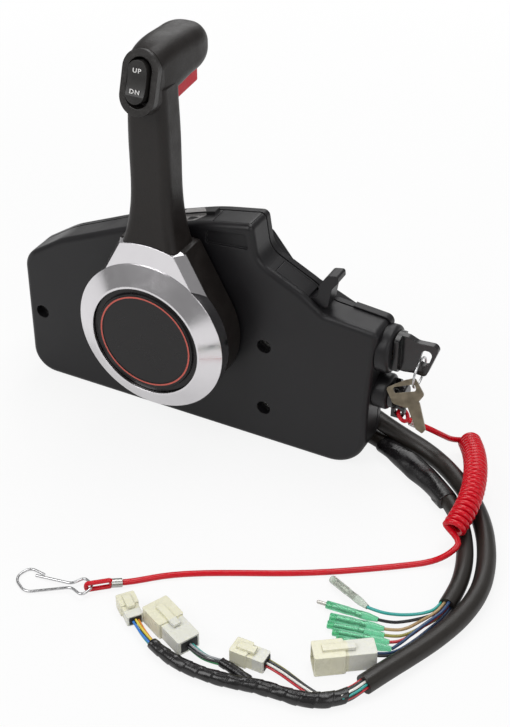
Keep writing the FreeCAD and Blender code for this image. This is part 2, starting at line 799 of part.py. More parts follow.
def hub_cover():
    dish = turned([
        (cover_lip_r, cover_lip_y), (cover_lip_r + 1.4, cover_lip_y), (cover_r, cover_edge_y),
        (cover_r, hub_front), (hub_r - hub_wall, hub_front), (hub_r - hub_wall, cover_edge_y + cover_wall),
        (cover_lip_r + 1.6, cover_lip_y + cover_wall), (cover_lip_r + 1.6, cap_back + 2.0),
        (cover_lip_r, cap_back + 2.0),
    ], 0, pivot_z)
    low = pivot_z + hub_r * 0.6
    high = pivot_z + neck_joint_r + 5
    run = math.tan(math.radians(flank_angle))
    spread = (high - low) * run
    lift = neck_joint_r - neck_back_drop
    front_top = neck_half_front - (high - pivot_z - lift) * run
    back_top = neck_half_back - (high - pivot_z - lift) * run
    wires = []
    for y, top in ((neck_front, front_top), (hub_front, back_top)):
        corners = [V(-top - spread, y, low), V(top + spread, y, low), V(top, y, high), V(-top, y, high)]
        wires.append(Part.makePolygon(corners + corners[:1]))
    neck = Part.makeLoft(wires, True, False)
    neck = neck.common(rod_y_axis(0, pivot_z, neck_joint_r - seam_gap, neck_front, hub_front))
    neck = neck.cut(rod_y_axis(0, pivot_z, hub_r, neck_front - 1, hub_front))
    return dish.fuse(neck).removeSplitter()


def stem_joint_cut(shape):
    # The stem's foot stops on the same circle as the cover's neck, in front of the hub.
    tool = rod_y_axis(0, pivot_z, neck_joint_r, neck_front - 4, hub_front)
    return shape.cut(tool)


def hub_cap():
    back = turned([
        (0, cap_back), (cover_lip_r - cap_clear, cap_back), (cover_lip_r - cap_clear, cap_front + cap_step),
        (cap_step_r, cap_front + cap_step), (cap_step_r - 0.8, cap_front), (0, cap_front),
    ], 0, pivot_z)
    groove = turned([
        (ring_mid_r - ring_half_width, cap_front - 1), (ring_mid_r + ring_half_width, cap_front - 1),
        (ring_mid_r + ring_half_width, cap_front + 1), (ring_mid_r - ring_half_width, cap_front + 1),
    ], 0, pivot_z)
    snap = turned([
        (hub_boss_r, hub_front), (hub_boss_r, cap_back), (hub_boss_r + 2, cap_back), (hub_boss_r + 2, hub_front),
    ], 0, pivot_z)
    return back.cut(groove).fuse(snap)


def cap_ring():
    return turned([
        (ring_mid_r - ring_half_width, cap_front - ring_proud), (ring_mid_r + ring_half_width, cap_front - ring_proud),
        (ring_mid_r + ring_half_width, cap_front + 1), (ring_mid_r - ring_half_width, cap_front + 1),
    ], 0, pivot_z)


def hub_bolt():
    head = rod_y_axis(0, pivot_z, 7.0, cap_back + 1.0, hub_front - 1.5)
    washer = rod_y_axis(0, pivot_z, 9.0, hub_front - 1.5, hub_front)
    recess = Part.makeCylinder(3.4, 3.0, V(0, cap_back + 1.0, pivot_z), V(0, 1, 0))
    return head.fuse(washer).cut(recess).removeSplitter()


def main_shaft():
    return rod_y_axis(0, pivot_z, shaft_r, hub_front, shaft_back)


def shaft_bush(y0, y1, flange_y0, flange_y1):
    bush = rod_y_axis(0, pivot_z, shaft_r + bush_wall, y0, y1)
    bush = bush.fuse(rod_y_axis(0, pivot_z, shaft_r + bush_wall + 2.0, flange_y0, flange_y1))
    bush = bush.cut(rod_y_axis(0, pivot_z, shaft_r + running_gap, y0 - 5, y1 + 5))
    return bush.removeSplitter()


def neutral_lock_ring():
    ring = rod_y_axis(0, pivot_z, lock_ring_r, lock_ring_front, case_front)
    ring = ring.cut(rod_y_axis(0, pivot_z, lock_ring_bore, lock_ring_front, case_front))
    notch = box(-lock_notch_half, lock_notch_half, lock_ring_front, case_front - 2.5,
                pivot_z + lock_ring_r - lock_notch_depth, pivot_z + lock_ring_r + 2)
    return ring.cut(notch)


# Trim switch, trigger and lock rod

def rocker_bezel():
    ring = stadium(bezel_half_width, bezel_half_length, 0, bezel_thick)
    return ring.cut(stadium(slot_half_width, slot_half_length, -1, bezel_thick + 1))


def trim_rocker():
    block = stadium(rocker_half_width, rocker_half_length, -rocker_proud, bezel_thick + rocker_root, rocker_rise)
    dish = Part.makeCylinder(rocker_dish, 40, V(-20, -rocker_dish - rocker_proud + 1.1, rocker_rise), V(1, 0, 0))
    reach = slot_half_width - sliding_gap
    pin = Part.makeCylinder(rocker_pin_r, 2 * reach, V(-reach, rocker_pin_depth, rocker_rise), V(1, 0, 0))
    return block.cut(lean(dish)).fuse(lean(pin)).removeSplitter()


def lock_trigger():
    profile = [
        V(0, trigger_front, trigger_low_front), V(0, trigger_back, trigger_low_back),
        V(0, trigger_back, trigger_top), V(0, trigger_front, trigger_top),
    ]
    blade = Part.Face(Part.makePolygon(profile + profile[:1])).extrude(V(2 * trigger_half_width, 0, 0))
    blade.translate(V(-trigger_half_width, 0, 0))
    rounded = []
    for edge in blade.Edges:
        low = max(v.Z for v in edge.Vertexes) < trigger_top - 5
        rear = min(v.Y for v in edge.Vertexes) > trigger_back - 1
        if low or rear:
            rounded.append(edge)
    blade = blade.makeFillet(1.8, rounded)
    yoke = box(-yoke_half, yoke_half, rod_y - yoke_reach, trigger_front + 1, yoke_low, yoke_high)
    return blade.fuse(yoke).cut(rod_z(0, rod_y, rod_r, yoke_low - 1, yoke_high + 1)).removeSplitter()


def lock_rod():
    rod = rod_z(0, rod_y, rod_r, rod_foot, yoke_high)
    rod = rod.fuse(rod_z(0, rod_y, spring_mid_r + spring_wire_r, spring_low - spring_collar, spring_low))
    dog = box(-dog_half, dog_half, rod_y - rod_r, dog_back, rod_foot, rod_foot + dog_height)
    return rod.fuse(dog).removeSplitter()


def lock_spring():
    height = spring_high - spring_low - 2 * spring_wire_r
    helix = Part.makeHelix(height / spring_turns, height, spring_mid_r)
    section = Part.Wire(Part.Circle(V(spring_mid_r, 0, 0), V(0, 1, 0), spring_wire_r).toShape())
    spring = Part.Wire(helix.Edges).makePipeShell([section], True, True)
    spring.translate(V(0, rod_y, spring_low + spring_wire_r))
    return spring


# Gear train

def gear(x, z, phase):
    # Involute spur gear, thinned at the pitch circle for backlash.
    pitch_r = gear_module * gear_teeth / 2
    base_r = pitch_r * math.cos(math.radians(20))
    tip_r = pitch_r + gear_module * 0.95
    root_r = pitch_r - gear_module * 1.25
    half_tooth = (math.pi * gear_module / 2 - gear_backlash) / 2 / pitch_r
    rolled = math.sqrt((pitch_r / base_r) ** 2 - 1)
    offset = half_tooth + rolled - math.atan(rolled)
    flank = []
    for step in range(4):
        r = base_r + (tip_r - base_r) * step / 3
        roll = math.sqrt(max((r / base_r) ** 2 - 1, 0))
        flank.append((r, offset - (roll - math.atan(roll))))
    points = []
    for tooth in range(gear_teeth):
        middle = phase + 2 * math.pi * tooth / gear_teeth
        sides = [(root_r, flank[0][1] + 0.02)] + flank
        for r, a in sides:
            points.append(V(r * math.cos(middle - a), 0, r * math.sin(middle - a)))
        for r, a in reversed(sides):
            points.append(V(r * math.cos(middle + a), 0, r * math.sin(middle + a)))
    face = Part.Face(Part.makePolygon(points + points[:1]))
    solid = face.extrude(V(0, gear_width, 0))
    solid.translate(V(x, gear_front, z))
    return solid


def follower_place(side):
    distance = gear_module * gear_teeth
    angle = math.radians(gear_spread)
    return side * distance * math.sin(angle), pivot_z - distance * math.cos(angle)


def drive_gear():
    wheel = gear(0, pivot_z, math.radians(-90 - gear_spread))
    return wheel.cut(rod_y_axis(0, pivot_z, shaft_r, gear_front, gear_front + gear_width))


def follower_arm(side):
    x, z = follower_place(side)
    toward = math.atan2(pivot_z - z, -x)
    half_pitch = math.pi / gear_teeth
    wheel = gear(x, z, toward + half_pitch)
    arm = box(x - arm_half, x + arm_half, arm_front, arm_front + arm_thick, z - arm_reach, z)
    arm = arm.fuse(rod_y_axis(x, z - arm_reach, arm_half, arm_front, arm_front + arm_thick))
    arm = arm.fuse(rod_y_axis(x, z, post_r + 3.5, gear_front, arm_front + arm_thick))
    arm = arm.cut(rod_y_axis(x, z - arm_reach, arm_hole_r, arm_front, arm_front + arm_thick))
    body = wheel.fuse(arm).removeSplitter()
    return body.cut(rod_y_axis(x, z, post_r + running_gap, gear_front - 1, arm_front + arm_thick + 1))


def arm_posts():
    posts = []
    for side in (-1, 1):
        x, z = follower_place(side)
        post = rod_y_axis(x, z, post_r, gear_front, case_back - plate_thick)
        collar_y = arm_front + arm_thick + sliding_gap
        posts.append(post.fuse(rod_y_axis(x, z, post_collar, collar_y, case_back - plate_thick)).removeSplitter())
    return group(posts)


def detent_wheel():
    wheel = rod_y_axis(0, pivot_z, detent_r, detent_front, detent_front + detent_thick)
    for angle in (-notch_angle, 0, notch_angle):
        notch = rod_y_axis(0, pivot_z + detent_r + notch_r * 0.55, notch_r, detent_front,
                           detent_front + detent_thick)
        wheel = wheel.cut(turn_about_pivot(notch, angle))
    return wheel.cut(rod_y_axis(0, pivot_z, shaft_r, detent_front, detent_front + detent_thick))


def detent_spring():
    # Leaf spring on a foot, with a round nose that drops into the wheel's notches.
    nose_z = pivot_z + detent_r + nose_r + sliding_gap
    top = nose_z + nose_r
    nose = rod_y_axis(0, nose_z, nose_r, detent_front, detent_front + detent_thick)
    leaf = box(-nose_r, leaf_reach, detent_front, detent_front + detent_thick, top - leaf_thick, top)
    foot = box(leaf_reach - leaf_foot, leaf_reach, detent_front, case_back - plate_thick,
               top - leaf_thick, top + leaf_foot)
    return nose.fuse(leaf).fuse(foot).removeSplitter()


def neutral_switch():
    top = pivot_z + 2
    body = box(-34, -detent_r - 2.2, detent_front, case_back - plate_thick, top - 12, top + 8)
    plunger = rod_x(detent_front + 2.5, top - 2, 1.4, -detent_r - 2.2, -detent_r - sliding_gap)
    return body.fuse(plunger).removeSplitter()


# Key switch, key, ring and spare key

def lock_body():
    x1 = lock_face_x
    body = rod_x(lock_y, lock_z, lock_body_r, x1 - lock_body_len, x1 + lock_nut_thick - 2.0)
    flat = rod_x(lock_y, lock_z, rotor_r + running_gap, x1 + lock_nut_thick - 2.0 - rotor_len, x1 + lock_nut_thick)
    return body.cut(flat)


def lock_nut():
    x0 = lock_face_x
    nut = rod_x(lock_y, lock_z, lock_nut_r, x0, x0 + lock_nut_thick)
    outer = [e for e in nut.Edges if e.Length > 50 and e.BoundBox.XMin > x0 + 1]
    nut = nut.makeFillet(lock_nut_round, outer)
    return nut.cut(rod_x(lock_y, lock_z, lock_body_r + running_gap, x0, x0 + lock_nut_thick))


def lock_rotor():
    x1 = lock_face_x + lock_nut_thick - 1.0
    rotor = rod_x(lock_y, lock_z, rotor_r, x1 - rotor_len + 1.2, x1)
    slot = box(x1 - key_blade_len, x1, lock_y - key_blade_half - 0.1, lock_y + key_blade_half + 0.1,
               lock_z - key_blade_height / 2 - 0.1, lock_z + key_blade_height / 2 + 0.1)
    return rotor.cut(slot)


def key_head():
    x0 = lock_face_x + lock_nut_thick + key_gap
    grip_plate = prism([
        (x0 + 1.0, lock_z - key_base_r, 3.0), (x0 + 1.0, lock_z + key_base_r, 3.0),
        (x0 + 8.0, lock_z + key_base_r, 5.0), (x0 + 14.5, lock_z + 11.4, 7.0),
        (key_head_end - 1.0, lock_z + 12.4, 3.5), (key_head_end + 0.8, lock_z + 8.6, 3.0),
        (key_head_end - 6.6, lock_z - 13.6, 3.2), (x0 + 13.0, lock_z - 13.0, 8.0),
        (x0 + 6.5, lock_z - key_base_r, 4.0),
    ], lock_y - key_head_half, lock_y + key_head_half)
    base = rod_x(lock_y, lock_z, key_base_r, x0, x0 + key_base_thick)
    base = base.common(box(x0, x0 + key_base_thick, lock_y - 8.0, lock_y + 8.0, 0, 200))
    hole = prism([
        (key_hole_x - 5.0, lock_z - 5.2, 3.2), (key_hole_x - 1.8, lock_z + 7.2, 3.2),
        (key_hole_x + 5.6, lock_z + 7.2, 3.2), (key_hole_x + 2.4, lock_z - 5.2, 3.2),
    ], lock_y - 5, lock_y + 5)
    socket = box(x0, x0 + 6.0, lock_y - key_blade_half, lock_y + key_blade_half,
                 lock_z - key_blade_height / 2, lock_z + key_blade_height / 2)
    return grip_plate.fuse(base).removeSplitter().cut(hole).cut(socket)


def key_blade():
    x0 = lock_face_x + lock_nut_thick + key_gap
    blade = box(x0 - key_blade_len + 2.0, x0 + 0.0, lock_y - key_blade_half, lock_y + key_blade_half,
                lock_z - key_blade_height / 2, lock_z + key_blade_height / 2)
    for i, depth in enumerate((1.2, 2.0, 0.8, 1.6, 2.2)):
        x = x0 - key_blade_len + 4.5 + 3.6 * i
        tooth = box(x, x + 1.8, lock_y - 2, lock_y + 2, lock_z - key_blade_height / 2,
                    lock_z - key_blade_height / 2 + depth)
        blade = blade.cut(tooth)
    return blade


def key_ring():
    # Closed wire ring through the key's eye and the spare key's slot.
    top = V(*ring_top)
    low = V(*ring_low)
    chord = low - top
    half = chord.Length / 2
    along = V(chord).normalize()
    aside = (V(0, 1, 0) - along * along.y).normalize()
    centre = (top + low) * 0.5 + aside * math.sqrt(ring_mid_radius ** 2 - half ** 2)
    return Part.makeTorus(ring_mid_radius, ring_wire_r, centre, along.cross(aside))


def spare_key():
    # Drawn upright about the ring's low point, then leaned back at the top.
    head = prism(spare_head, -spare_half, spare_half)
    blade = prism(spare_blade, -spare_half, spare_half)
    slot = prism(spare_slot, -spare_slot_reach, spare_slot_reach)
    key = head.fuse(blade).cut(slot).removeSplitter()
    key.rotate(V(0, 0, 0), V(1, 0, 0), -spare_lean)
    key.translate(V(*ring_low))
    return key


# Stop switch

def stop_switch():
    body = rod_x(stop_y, stop_z, stop_body_r, stop_face_x, stop_body_end)
    rim = [e for e in body.Edges if e.Length > 50 and e.BoundBox.XMin > stop_body_end - 0.1]
    body = body.makeFillet(stop_rim_round, rim)
    body = body.fuse(rod_x(stop_y, stop_z, stop_inner_r, stop_face_x - stop_inner_len, stop_face_x))
    return body.cut(rod_x(stop_y, stop_z, button_stem_r + running_gap, stop_body_end - 8, stop_body_end))


def stop_button():
    stem_x = stop_body_end - 7.5
    button = rod_x(stop_y, stop_z, button_stem_r, stem_x, button_head_front)
    button = button.fuse(rod_x(stop_y, stop_z, button_head_r, button_head_front - button_head_thick,
                               button_head_front)).removeSplitter()
    rim = [e for e in button.Edges if e.Length > 40 and e.BoundBox.XMin > button_head_front - 0.1]
    return button.makeFillet(1.5, rim)


def lanyard_clip():
    x0 = stop_body_end + clip_gap
    x1 = x0 + clip_thick
    plate = rod_x(stop_y, stop_z, clip_r, x0, x1)
    lug = box(x0, clip_lug_end, stop_y - clip_lug_half, stop_y + clip_lug_half, clip_lug_low, clip_lug_high)
    corners = [e for e in lug.Edges if e.BoundBox.XMin > clip_lug_end - 0.1 and e.BoundBox.YLength > 1]
    plate = plate.fuse(lug.makeFillet(4.4, corners))
    plate = plate.cut(rod_x(stop_y, stop_z, button_stem_r + sliding_gap, x0, x1))
    slot = button_stem_r + sliding_gap
    plate = plate.cut(box(x0, x1, stop_y - slot, stop_y + slot, stop_z, stop_z + clip_r + 1))
    ex, ez = clip_eye
    plate = plate.cut(rod_y_axis(ex, ez, clip_eye_r, stop_y - clip_lug_half, stop_y + clip_lug_half))
    return plate.removeSplitter()


def sleeve_along(start, ahead, first, last, outer, inner):
    # Short tube about a cord's straight run.
    begin = start + ahead * first
    tube = Part.makeCylinder(outer, last - first, begin, ahead)
    return tube.cut(Part.makeCylinder(inner, last - first, begin, ahead))


def lanyard_lead():
    # The cord loops through the clip's eye and runs on to the coil.
    tube = cord_tube("lanyard_lead", lead_route, lanyard_r)
    ex, ez = clip_eye
    eye = V(ex, stop_y, ez)
    ahead = (V(*lead_route[0]) - eye).normalize()
    loop = Part.makeTorus(eye_loop_r, eye_cord_r, eye + ahead * eye_loop_r, ahead.cross(V(0, 1, 0)))
    return tube.fuse(loop).removeSplitter()


def lead_ferrule():
    start = V(*lead_route[0])
    ahead = (V(*lead_route[1]) - start).normalize()
    return sleeve_along(start, ahead, ferrule_start, ferrule_end, ferrule_r, lanyard_r + running_gap)


def lanyard_long():
    # The cord ends in a long loop that holds the snap hook.
    tube = cord_tube("lanyard_long", long_route, lanyard_r)
    end = V(*long_route[-1])
    ahead = end - V(*long_route[-2])
    ahead = V(ahead.x, ahead.y, 0).normalize()
    up = V(0, 0, hook_loop_half)
    near = end + ahead * hook_loop_near
    far = end + ahead * hook_loop_far
    path = Part.Wire([
        Part.LineSegment(near + up, far + up).toShape(),
        Part.Arc(far + up, far + ahead * hook_loop_half, far - up).toShape(),
        Part.LineSegment(far - up, near - up).toShape(),
        Part.Arc(near - up, near - ahead * hook_loop_half, near + up).toShape(),
    ])
    section = Part.Wire(Part.Circle(near + up, ahead, hook_cord_r).toShape())
    loop = path.makePipeShell([section], True, False)
    return tube.fuse(loop).removeSplitter()


def cord_ferrule():
    end = V(*long_route[-1])
    back = (V(*long_route[-2]) - end).normalize()
    return sleeve_along(end, back, 1.2, 8.2, hook_ferrule_r, lanyard_r + running_gap)


def snap_hook():
    # Wire bent into an eye, two legs and a nose, with the gate's end beside the nose.
    path = [V(x, y, z) for x, y, z, r in hook_route]
    edges = []
    start = path[0]
    for i in range(1, len(path) - 1):
        first, middle, last = corner_arc(path[i - 1], path[i], path[i + 1], hook_route[i][3])
        edges.append(Part.LineSegment(start, first).toShape())
        edges.append(Part.Arc(first, middle, last).toShape())
        start = last
    edges.append(Part.LineSegment(start, path[-1]).toShape())
    section = Part.Wire(Part.Circle(path[0], path[1] - path[0], hook_wire_r).toShape())
    return Part.Wire(edges).makePipeShell([section], True, False)


# Connectors and terminals of the harness

def soft_box(x0, x1, y0, y1, z0, z1):
    block = box(x0, x1, y0, y1, z0, z1)
    upright = [e for e in block.Edges if e.BoundBox.XLength < 0.1 and e.BoundBox.YLength < 0.1]
    return block.makeFillet(connector_round, upright)


def connector(name):
    # Two-step housing with a latch on top, open at the mating end.
    x, y, angle, length, width, height = connectors[name]
    half = length / 2
    narrow = width / 2 * connector_narrow
    body = soft_box(-half, 0.2, -width / 2, width / 2, 0.3, height)
    rear = soft_box(-2.0, half, -narrow, narrow, 0.3 + connector_flange / 2, height - connector_flange)
    body = body.fuse(rear).fuse(box(-half * 0.7, half * 0.35, -latch_width / 2, latch_width / 2,
                         height - 0.5, height + latch_height))
    depth = length * connector_depth
    body = body.cut(box(-half, -half + depth, -width / 2 + connector_wall, width / 2 - connector_wall,
                        0.3 + connector_wall, height - connector_wall))
    body.rotate(V(0, 0, 0), V(0, 0, 1), angle)
    body.translate(V(x, y, 0))
    return body.removeSplitter()


def bullet_sleeves():
    sleeves = []
    for tip, tail in bullets:
        start = V(*tip)
        ahead = V(*tail) - start
        length = ahead.Length
        ahead = ahead.normalize()
        sleeve = Part.makeCylinder(bullet_r, length - bullet_tail, start, ahead)
        shoulder = start + ahead * (length - bullet_tail)
        sleeve = sleeve.fuse(Part.makeCone(bullet_r, bullet_tail_r, bullet_tail, shoulder, ahead))
        if (tip, tail) == bullets[pinned_bullet]:
            sleeve = sleeve.fuse(Part.makeCylinder(pin_r, pin_reach, start - ahead * pin_reach, ahead))
        else:
            sleeve = sleeve.cut(Part.makeCylinder(pin_r, pin_reach, start, ahead))
        sleeves.append(sleeve.removeSplitter())
    return group(sleeves)


def taped_tail():
    # The bundle under tape, with the short branch to the wide connector.
    tail = cord_tube("taped_tail", tail_route, tail_r)
    return tail.fuse(cord_tube("tail_branch", branch_route, branch_r)).removeSplitter()


def bullet_wires():
    return group([cord_tube("bullet_wire", route, wire_r) for route in bullet_routes])


# Free accelerator

def accelerator_lever():
    px, pz = accelerator_pivot
    strip = skin_band(accelerator_left, accelerator_right, accelerator_front, accelerator_back, accelerator_thick)
    left = rod_y_axis(px, pz, accelerator_end_r, accelerator_front, accelerator_back)
    right = box(px, 200, accelerator_front, accelerator_back, 100, 200)
    strip = strip.common(left.fuse(right))
    tab = prism(tab_outline, accelerator_front + tab_inset, accelerator_back - tab_inset)
    eye = rod_y_axis(px, pz, accelerator_pin_r + 2.0, accelerator_front, accelerator_back)
    web = box(px - 1.6, px + 1.6, accelerator_front, accelerator_back, pz, pz + 3.0)
    lever = strip.fuse(tab).fuse(eye).fuse(web).removeSplitter()
    lever = lever.common(prism(case_outline, case_front, parting_y).fuse(tab))
    return lever.cut(rod_y_axis(px, pz, accelerator_pin_r + running_gap, case_front, parting_y))


def accelerator_pin():
    px, pz = accelerator_pivot
    return rod_y_axis(px, pz, accelerator_pin_r, accelerator_pin_start, parting_y)


nodes = {
    "front_case": front_case(),
    "rear_case": rear_case(),
    "back_plate": back_plate(),
    "back_screws": back_screws(),
    "mount_sleeves": mount_sleeves(),
    "top_panel": top_panel(),
    "position_plate": position_plate(),
    "lever_arm": stem_joint_cut(lever_arm()),
    "hub_cover": hub_cover(),
    "hub_cap": hub_cap(),
    "cap_ring": cap_ring(),
    "hub_bolt": hub_bolt(),
    "main_shaft": main_shaft(),
    "shaft_bushes": group([
        shaft_bush(case_front, gear_front - 0.5, case_front - 1.5, case_front),
        shaft_bush(case_back - plate_thick - 4, case_back - 0.5, case_back - plate_thick - 2,
                   case_back - plate_thick),
    ]),
    "neutral_lock_ring": neutral_lock_ring(),
    "rocker_bezel": rocker_bezel(),
    "trim_rocker": trim_rocker(),
    "lock_trigger": lock_trigger(),
    "lock_rod": lock_rod(),
    "lock_spring": lock_spring(),
    "drive_gear": drive_gear(),
    "shift_arm": follower_arm(-1),
    "throttle_arm": follower_arm(1),
    "arm_posts": arm_posts(),
    "detent_wheel": detent_wheel(),
    "detent_spring": detent_spring(),
    "neutral_switch": neutral_switch(),
    "lock_body": lock_body(),
    "lock_nut": lock_nut(),
    "lock_rotor": lock_rotor(),
    "key_head": key_head(),
    "key_blade": key_blade(),
    "key_ring": key_ring(),
    "spare_key": spare_key(),
    "stop_switch": stop_switch(),
    "stop_button": stop_button(),
    "lanyard_clip": lanyard_clip(),
    "accelerator_lever": accelerator_lever(),
    "accelerator_pin": accelerator_pin(),
    "harness_grommet": harness_grommet(),
    "thick_sleeve": cord_tube("thick_sleeve", thick_route, thick_sleeve_r),
    "thin_sleeve": cord_tube("thin_sleeve", thin_route, thin_sleeve_r),
    "taped_tail": taped_tail(),
    "small_wires": cord_tube("small_wires", small_wires_route, small_bundle_r),
    "wide_wires": cord_tube("wide_wires", wide_wires_route, pair_bundle_r),
    "mid_wires": cord_tube("mid_wires", mid_wires_route, triple_bundle_r),
    "large_wires": cord_tube("large_wires", large_wires_route, large_bundle_r),
    "bullet_wires": bullet_wires(),
    "bullet_sleeves": bullet_sleeves(),
    "lanyard_lead": lanyard_lead(),
    "lead_ferrule": lead_ferrule(),
    "lanyard_coil": cord_tube("lanyard_coil", coil_route, coil_r),
    "lanyard_long": lanyard_long(),
    "cord_ferrule": cord_ferrule(),
    "snap_hook": snap_hook(),
}

for name in connectors:
    nodes[name] = connector(name)

for name, shape in nodes.items():
    save(name, shape)
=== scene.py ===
import bpy
import math
from mathutils import Matrix, Vector


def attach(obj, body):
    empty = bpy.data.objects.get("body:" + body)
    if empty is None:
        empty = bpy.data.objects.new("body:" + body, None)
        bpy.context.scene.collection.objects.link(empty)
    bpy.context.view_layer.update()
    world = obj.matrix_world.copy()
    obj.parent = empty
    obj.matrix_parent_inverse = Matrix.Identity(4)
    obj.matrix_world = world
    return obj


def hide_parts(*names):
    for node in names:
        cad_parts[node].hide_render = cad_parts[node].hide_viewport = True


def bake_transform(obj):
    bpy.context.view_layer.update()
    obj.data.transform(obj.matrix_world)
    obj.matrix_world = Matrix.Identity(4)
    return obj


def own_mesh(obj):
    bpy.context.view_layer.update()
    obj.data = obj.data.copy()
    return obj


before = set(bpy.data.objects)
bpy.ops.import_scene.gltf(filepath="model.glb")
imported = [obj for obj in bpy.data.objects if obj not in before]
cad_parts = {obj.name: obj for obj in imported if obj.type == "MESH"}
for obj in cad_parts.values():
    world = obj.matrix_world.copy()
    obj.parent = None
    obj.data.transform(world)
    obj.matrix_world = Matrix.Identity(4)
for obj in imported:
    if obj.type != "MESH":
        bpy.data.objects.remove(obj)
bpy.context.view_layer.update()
print("frame loaded:", len(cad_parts), "nodes")

mm = 0.001  # metres in a millimetre


# General helpers

def addNode(tree, kind, settings=None, links=None):
    node = tree.nodes.new(kind)
    for key, value in (settings or {}).items():
        if isinstance(key, int) or key in node.inputs:
            node.inputs[key].default_value = value
        else:
            setattr(node, key, value)
    for key, socket in (links or {}).items():
        tree.links.new(socket, node.inputs[key])
    return node


def addObject(name, data):
    piece = bpy.data.objects.new(name, data)
    bpy.context.collection.objects.link(piece)
    return piece


def aimAt(item, place, target):
    item.location = place
    item.rotation_euler = (Vector(target) - Vector(place)).to_track_quat("-Z", "Y").to_euler()


def paint(piece, material):
    piece.data.materials.clear()
    piece.data.materials.append(material)


def settle(piece, matrix=None):
    # Put the piece's place into its mesh, with its object at the origin
    piece.data.transform(piece.matrix_world if matrix is None else matrix)
    piece.matrix_world = Matrix.Identity(4)
    piece.data.update()


def fixToCase(piece, slot, *nodes):
    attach(piece, "case")
    if nodes:
        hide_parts(*nodes)


# Camera at the photograph's angle, in millimetres

cameraSetup = {
    "place": (451.5, -778.1, 665.5),
    "target": (63.8, -30.0, 64.5),
    "lens": 74.3,
    "nearest": 50.0,
}


def addCamera():
    data = bpy.data.cameras.new("camera")
    data.lens = cameraSetup["lens"]
    data.clip_start = cameraSetup["nearest"] * mm
    camera = addObject("camera", data)
    aimAt(camera, Vector(cameraSetup["place"]) * mm, Vector(cameraSetup["target"]) * mm)
    bpy.context.scene.camera = camera


addCamera()
bpy.context.scene.view_settings.view_transform = "Standard"


# Materials. Sizes of patterns are in millimetres.

def srgb(code):
    channels = [int(code[i:i + 2], 16) / 255 for i in (1, 3, 5)]
    return [c / 12.92 if c <= 0.04045 else ((c + 0.055) / 1.055) ** 2.4 for c in channels] + [1.0]


def newMaterial(name):
    material = bpy.data.materials.new(name)
    material.use_nodes = True
    tree = material.node_tree
    place = addNode(tree, "ShaderNodeTexCoord").outputs["Object"]
    return material, tree, tree.nodes["Principled BSDF"], place


# What a look has unless it says otherwise
plainLook = {"spread": 0.08, "strength": 0.4, "stretch": (1, 1, 1), "shader": {}, "fineDetail": 3.0,
             "broadDetail": 4.0, "broadRoughness": 0.6, "broadFrom": 0.3, "broadTo": 0.7,
             "leastRough": 0.02, "edgeSamples": 4}


def surface(name, look):
    # Grain as bump, broad patches that change shade and gloss, and softened edges
    look = {**plainLook, **look}
    material, tree, shader, place = newMaterial(name)
    stretched = addNode(tree, "ShaderNodeMapping", {"Scale": look["stretch"]}, {"Vector": place})
    fine = addNode(tree, "ShaderNodeTexNoise",
                   {"Scale": 1 / (look["grain"] * mm), "Detail": look["fineDetail"]},
                   {"Vector": stretched.outputs["Vector"]})
    broad = addNode(tree, "ShaderNodeTexNoise",
                    {"Scale": 1 / (look["patch"] * mm), "Detail": look["broadDetail"],
                     "Roughness": look["broadRoughness"]}, {"Vector": place})
    color = addNode(tree, "ShaderNodeMix",
                    {"data_type": "RGBA", 6: srgb(look["color"]), 7: srgb(look["second"])},
                    {0: broad.outputs["Fac"]})
    tree.links.new(color.outputs[2], shader.inputs["Base Color"])
    gloss = addNode(tree, "ShaderNodeMapRange",
                    {"From Min": look["broadFrom"], "From Max": look["broadTo"],
                     "To Min": max(look["rough"] - look["spread"], look["leastRough"]),
                     "To Max": look["rough"] + look["spread"]}, {"Value": broad.outputs["Fac"]})
    tree.links.new(gloss.outputs["Result"], shader.inputs["Roughness"])
    edges = addNode(tree, "ShaderNodeBevel", {"samples": look["edgeSamples"], "Radius": look["edge"] * mm})
    bump = addNode(tree, "ShaderNodeBump", {"Strength": look["strength"], "Distance": look["depth"] * mm},
                   {"Height": fine.outputs["Fac"], "Normal": edges.outputs["Normal"]})
    tree.links.new(bump.outputs["Normal"], shader.inputs["Normal"])
    for socket, value in look["shader"].items():
        shader.inputs[socket].default_value = value
    return material


def tint(material, share, color):
    # Mix another colour in where the share rises to one
    tree = material.node_tree
    shader = tree.nodes["Principled BSDF"]
    under = shader.inputs["Base Color"].links[0].from_socket
    mix = addNode(tree, "ShaderNodeMix", {"data_type": "RGBA", 7: srgb(color)}, {0: share, 6: under})
    tree.links.new(mix.outputs[2], shader.inputs["Base Color"])


# Soft PVC bullet cover, clear enough to show the contact inside
softVinyl = {"rough": 0.14, "grain": 2.5, "depth": 0.12, "patch": 5, "edge": 0.2,
             "shader": {"IOR": 1.22, "Transmission Weight": 0.72, "Coat Weight": 0.5,
                        "Coat Roughness": 0.12}}

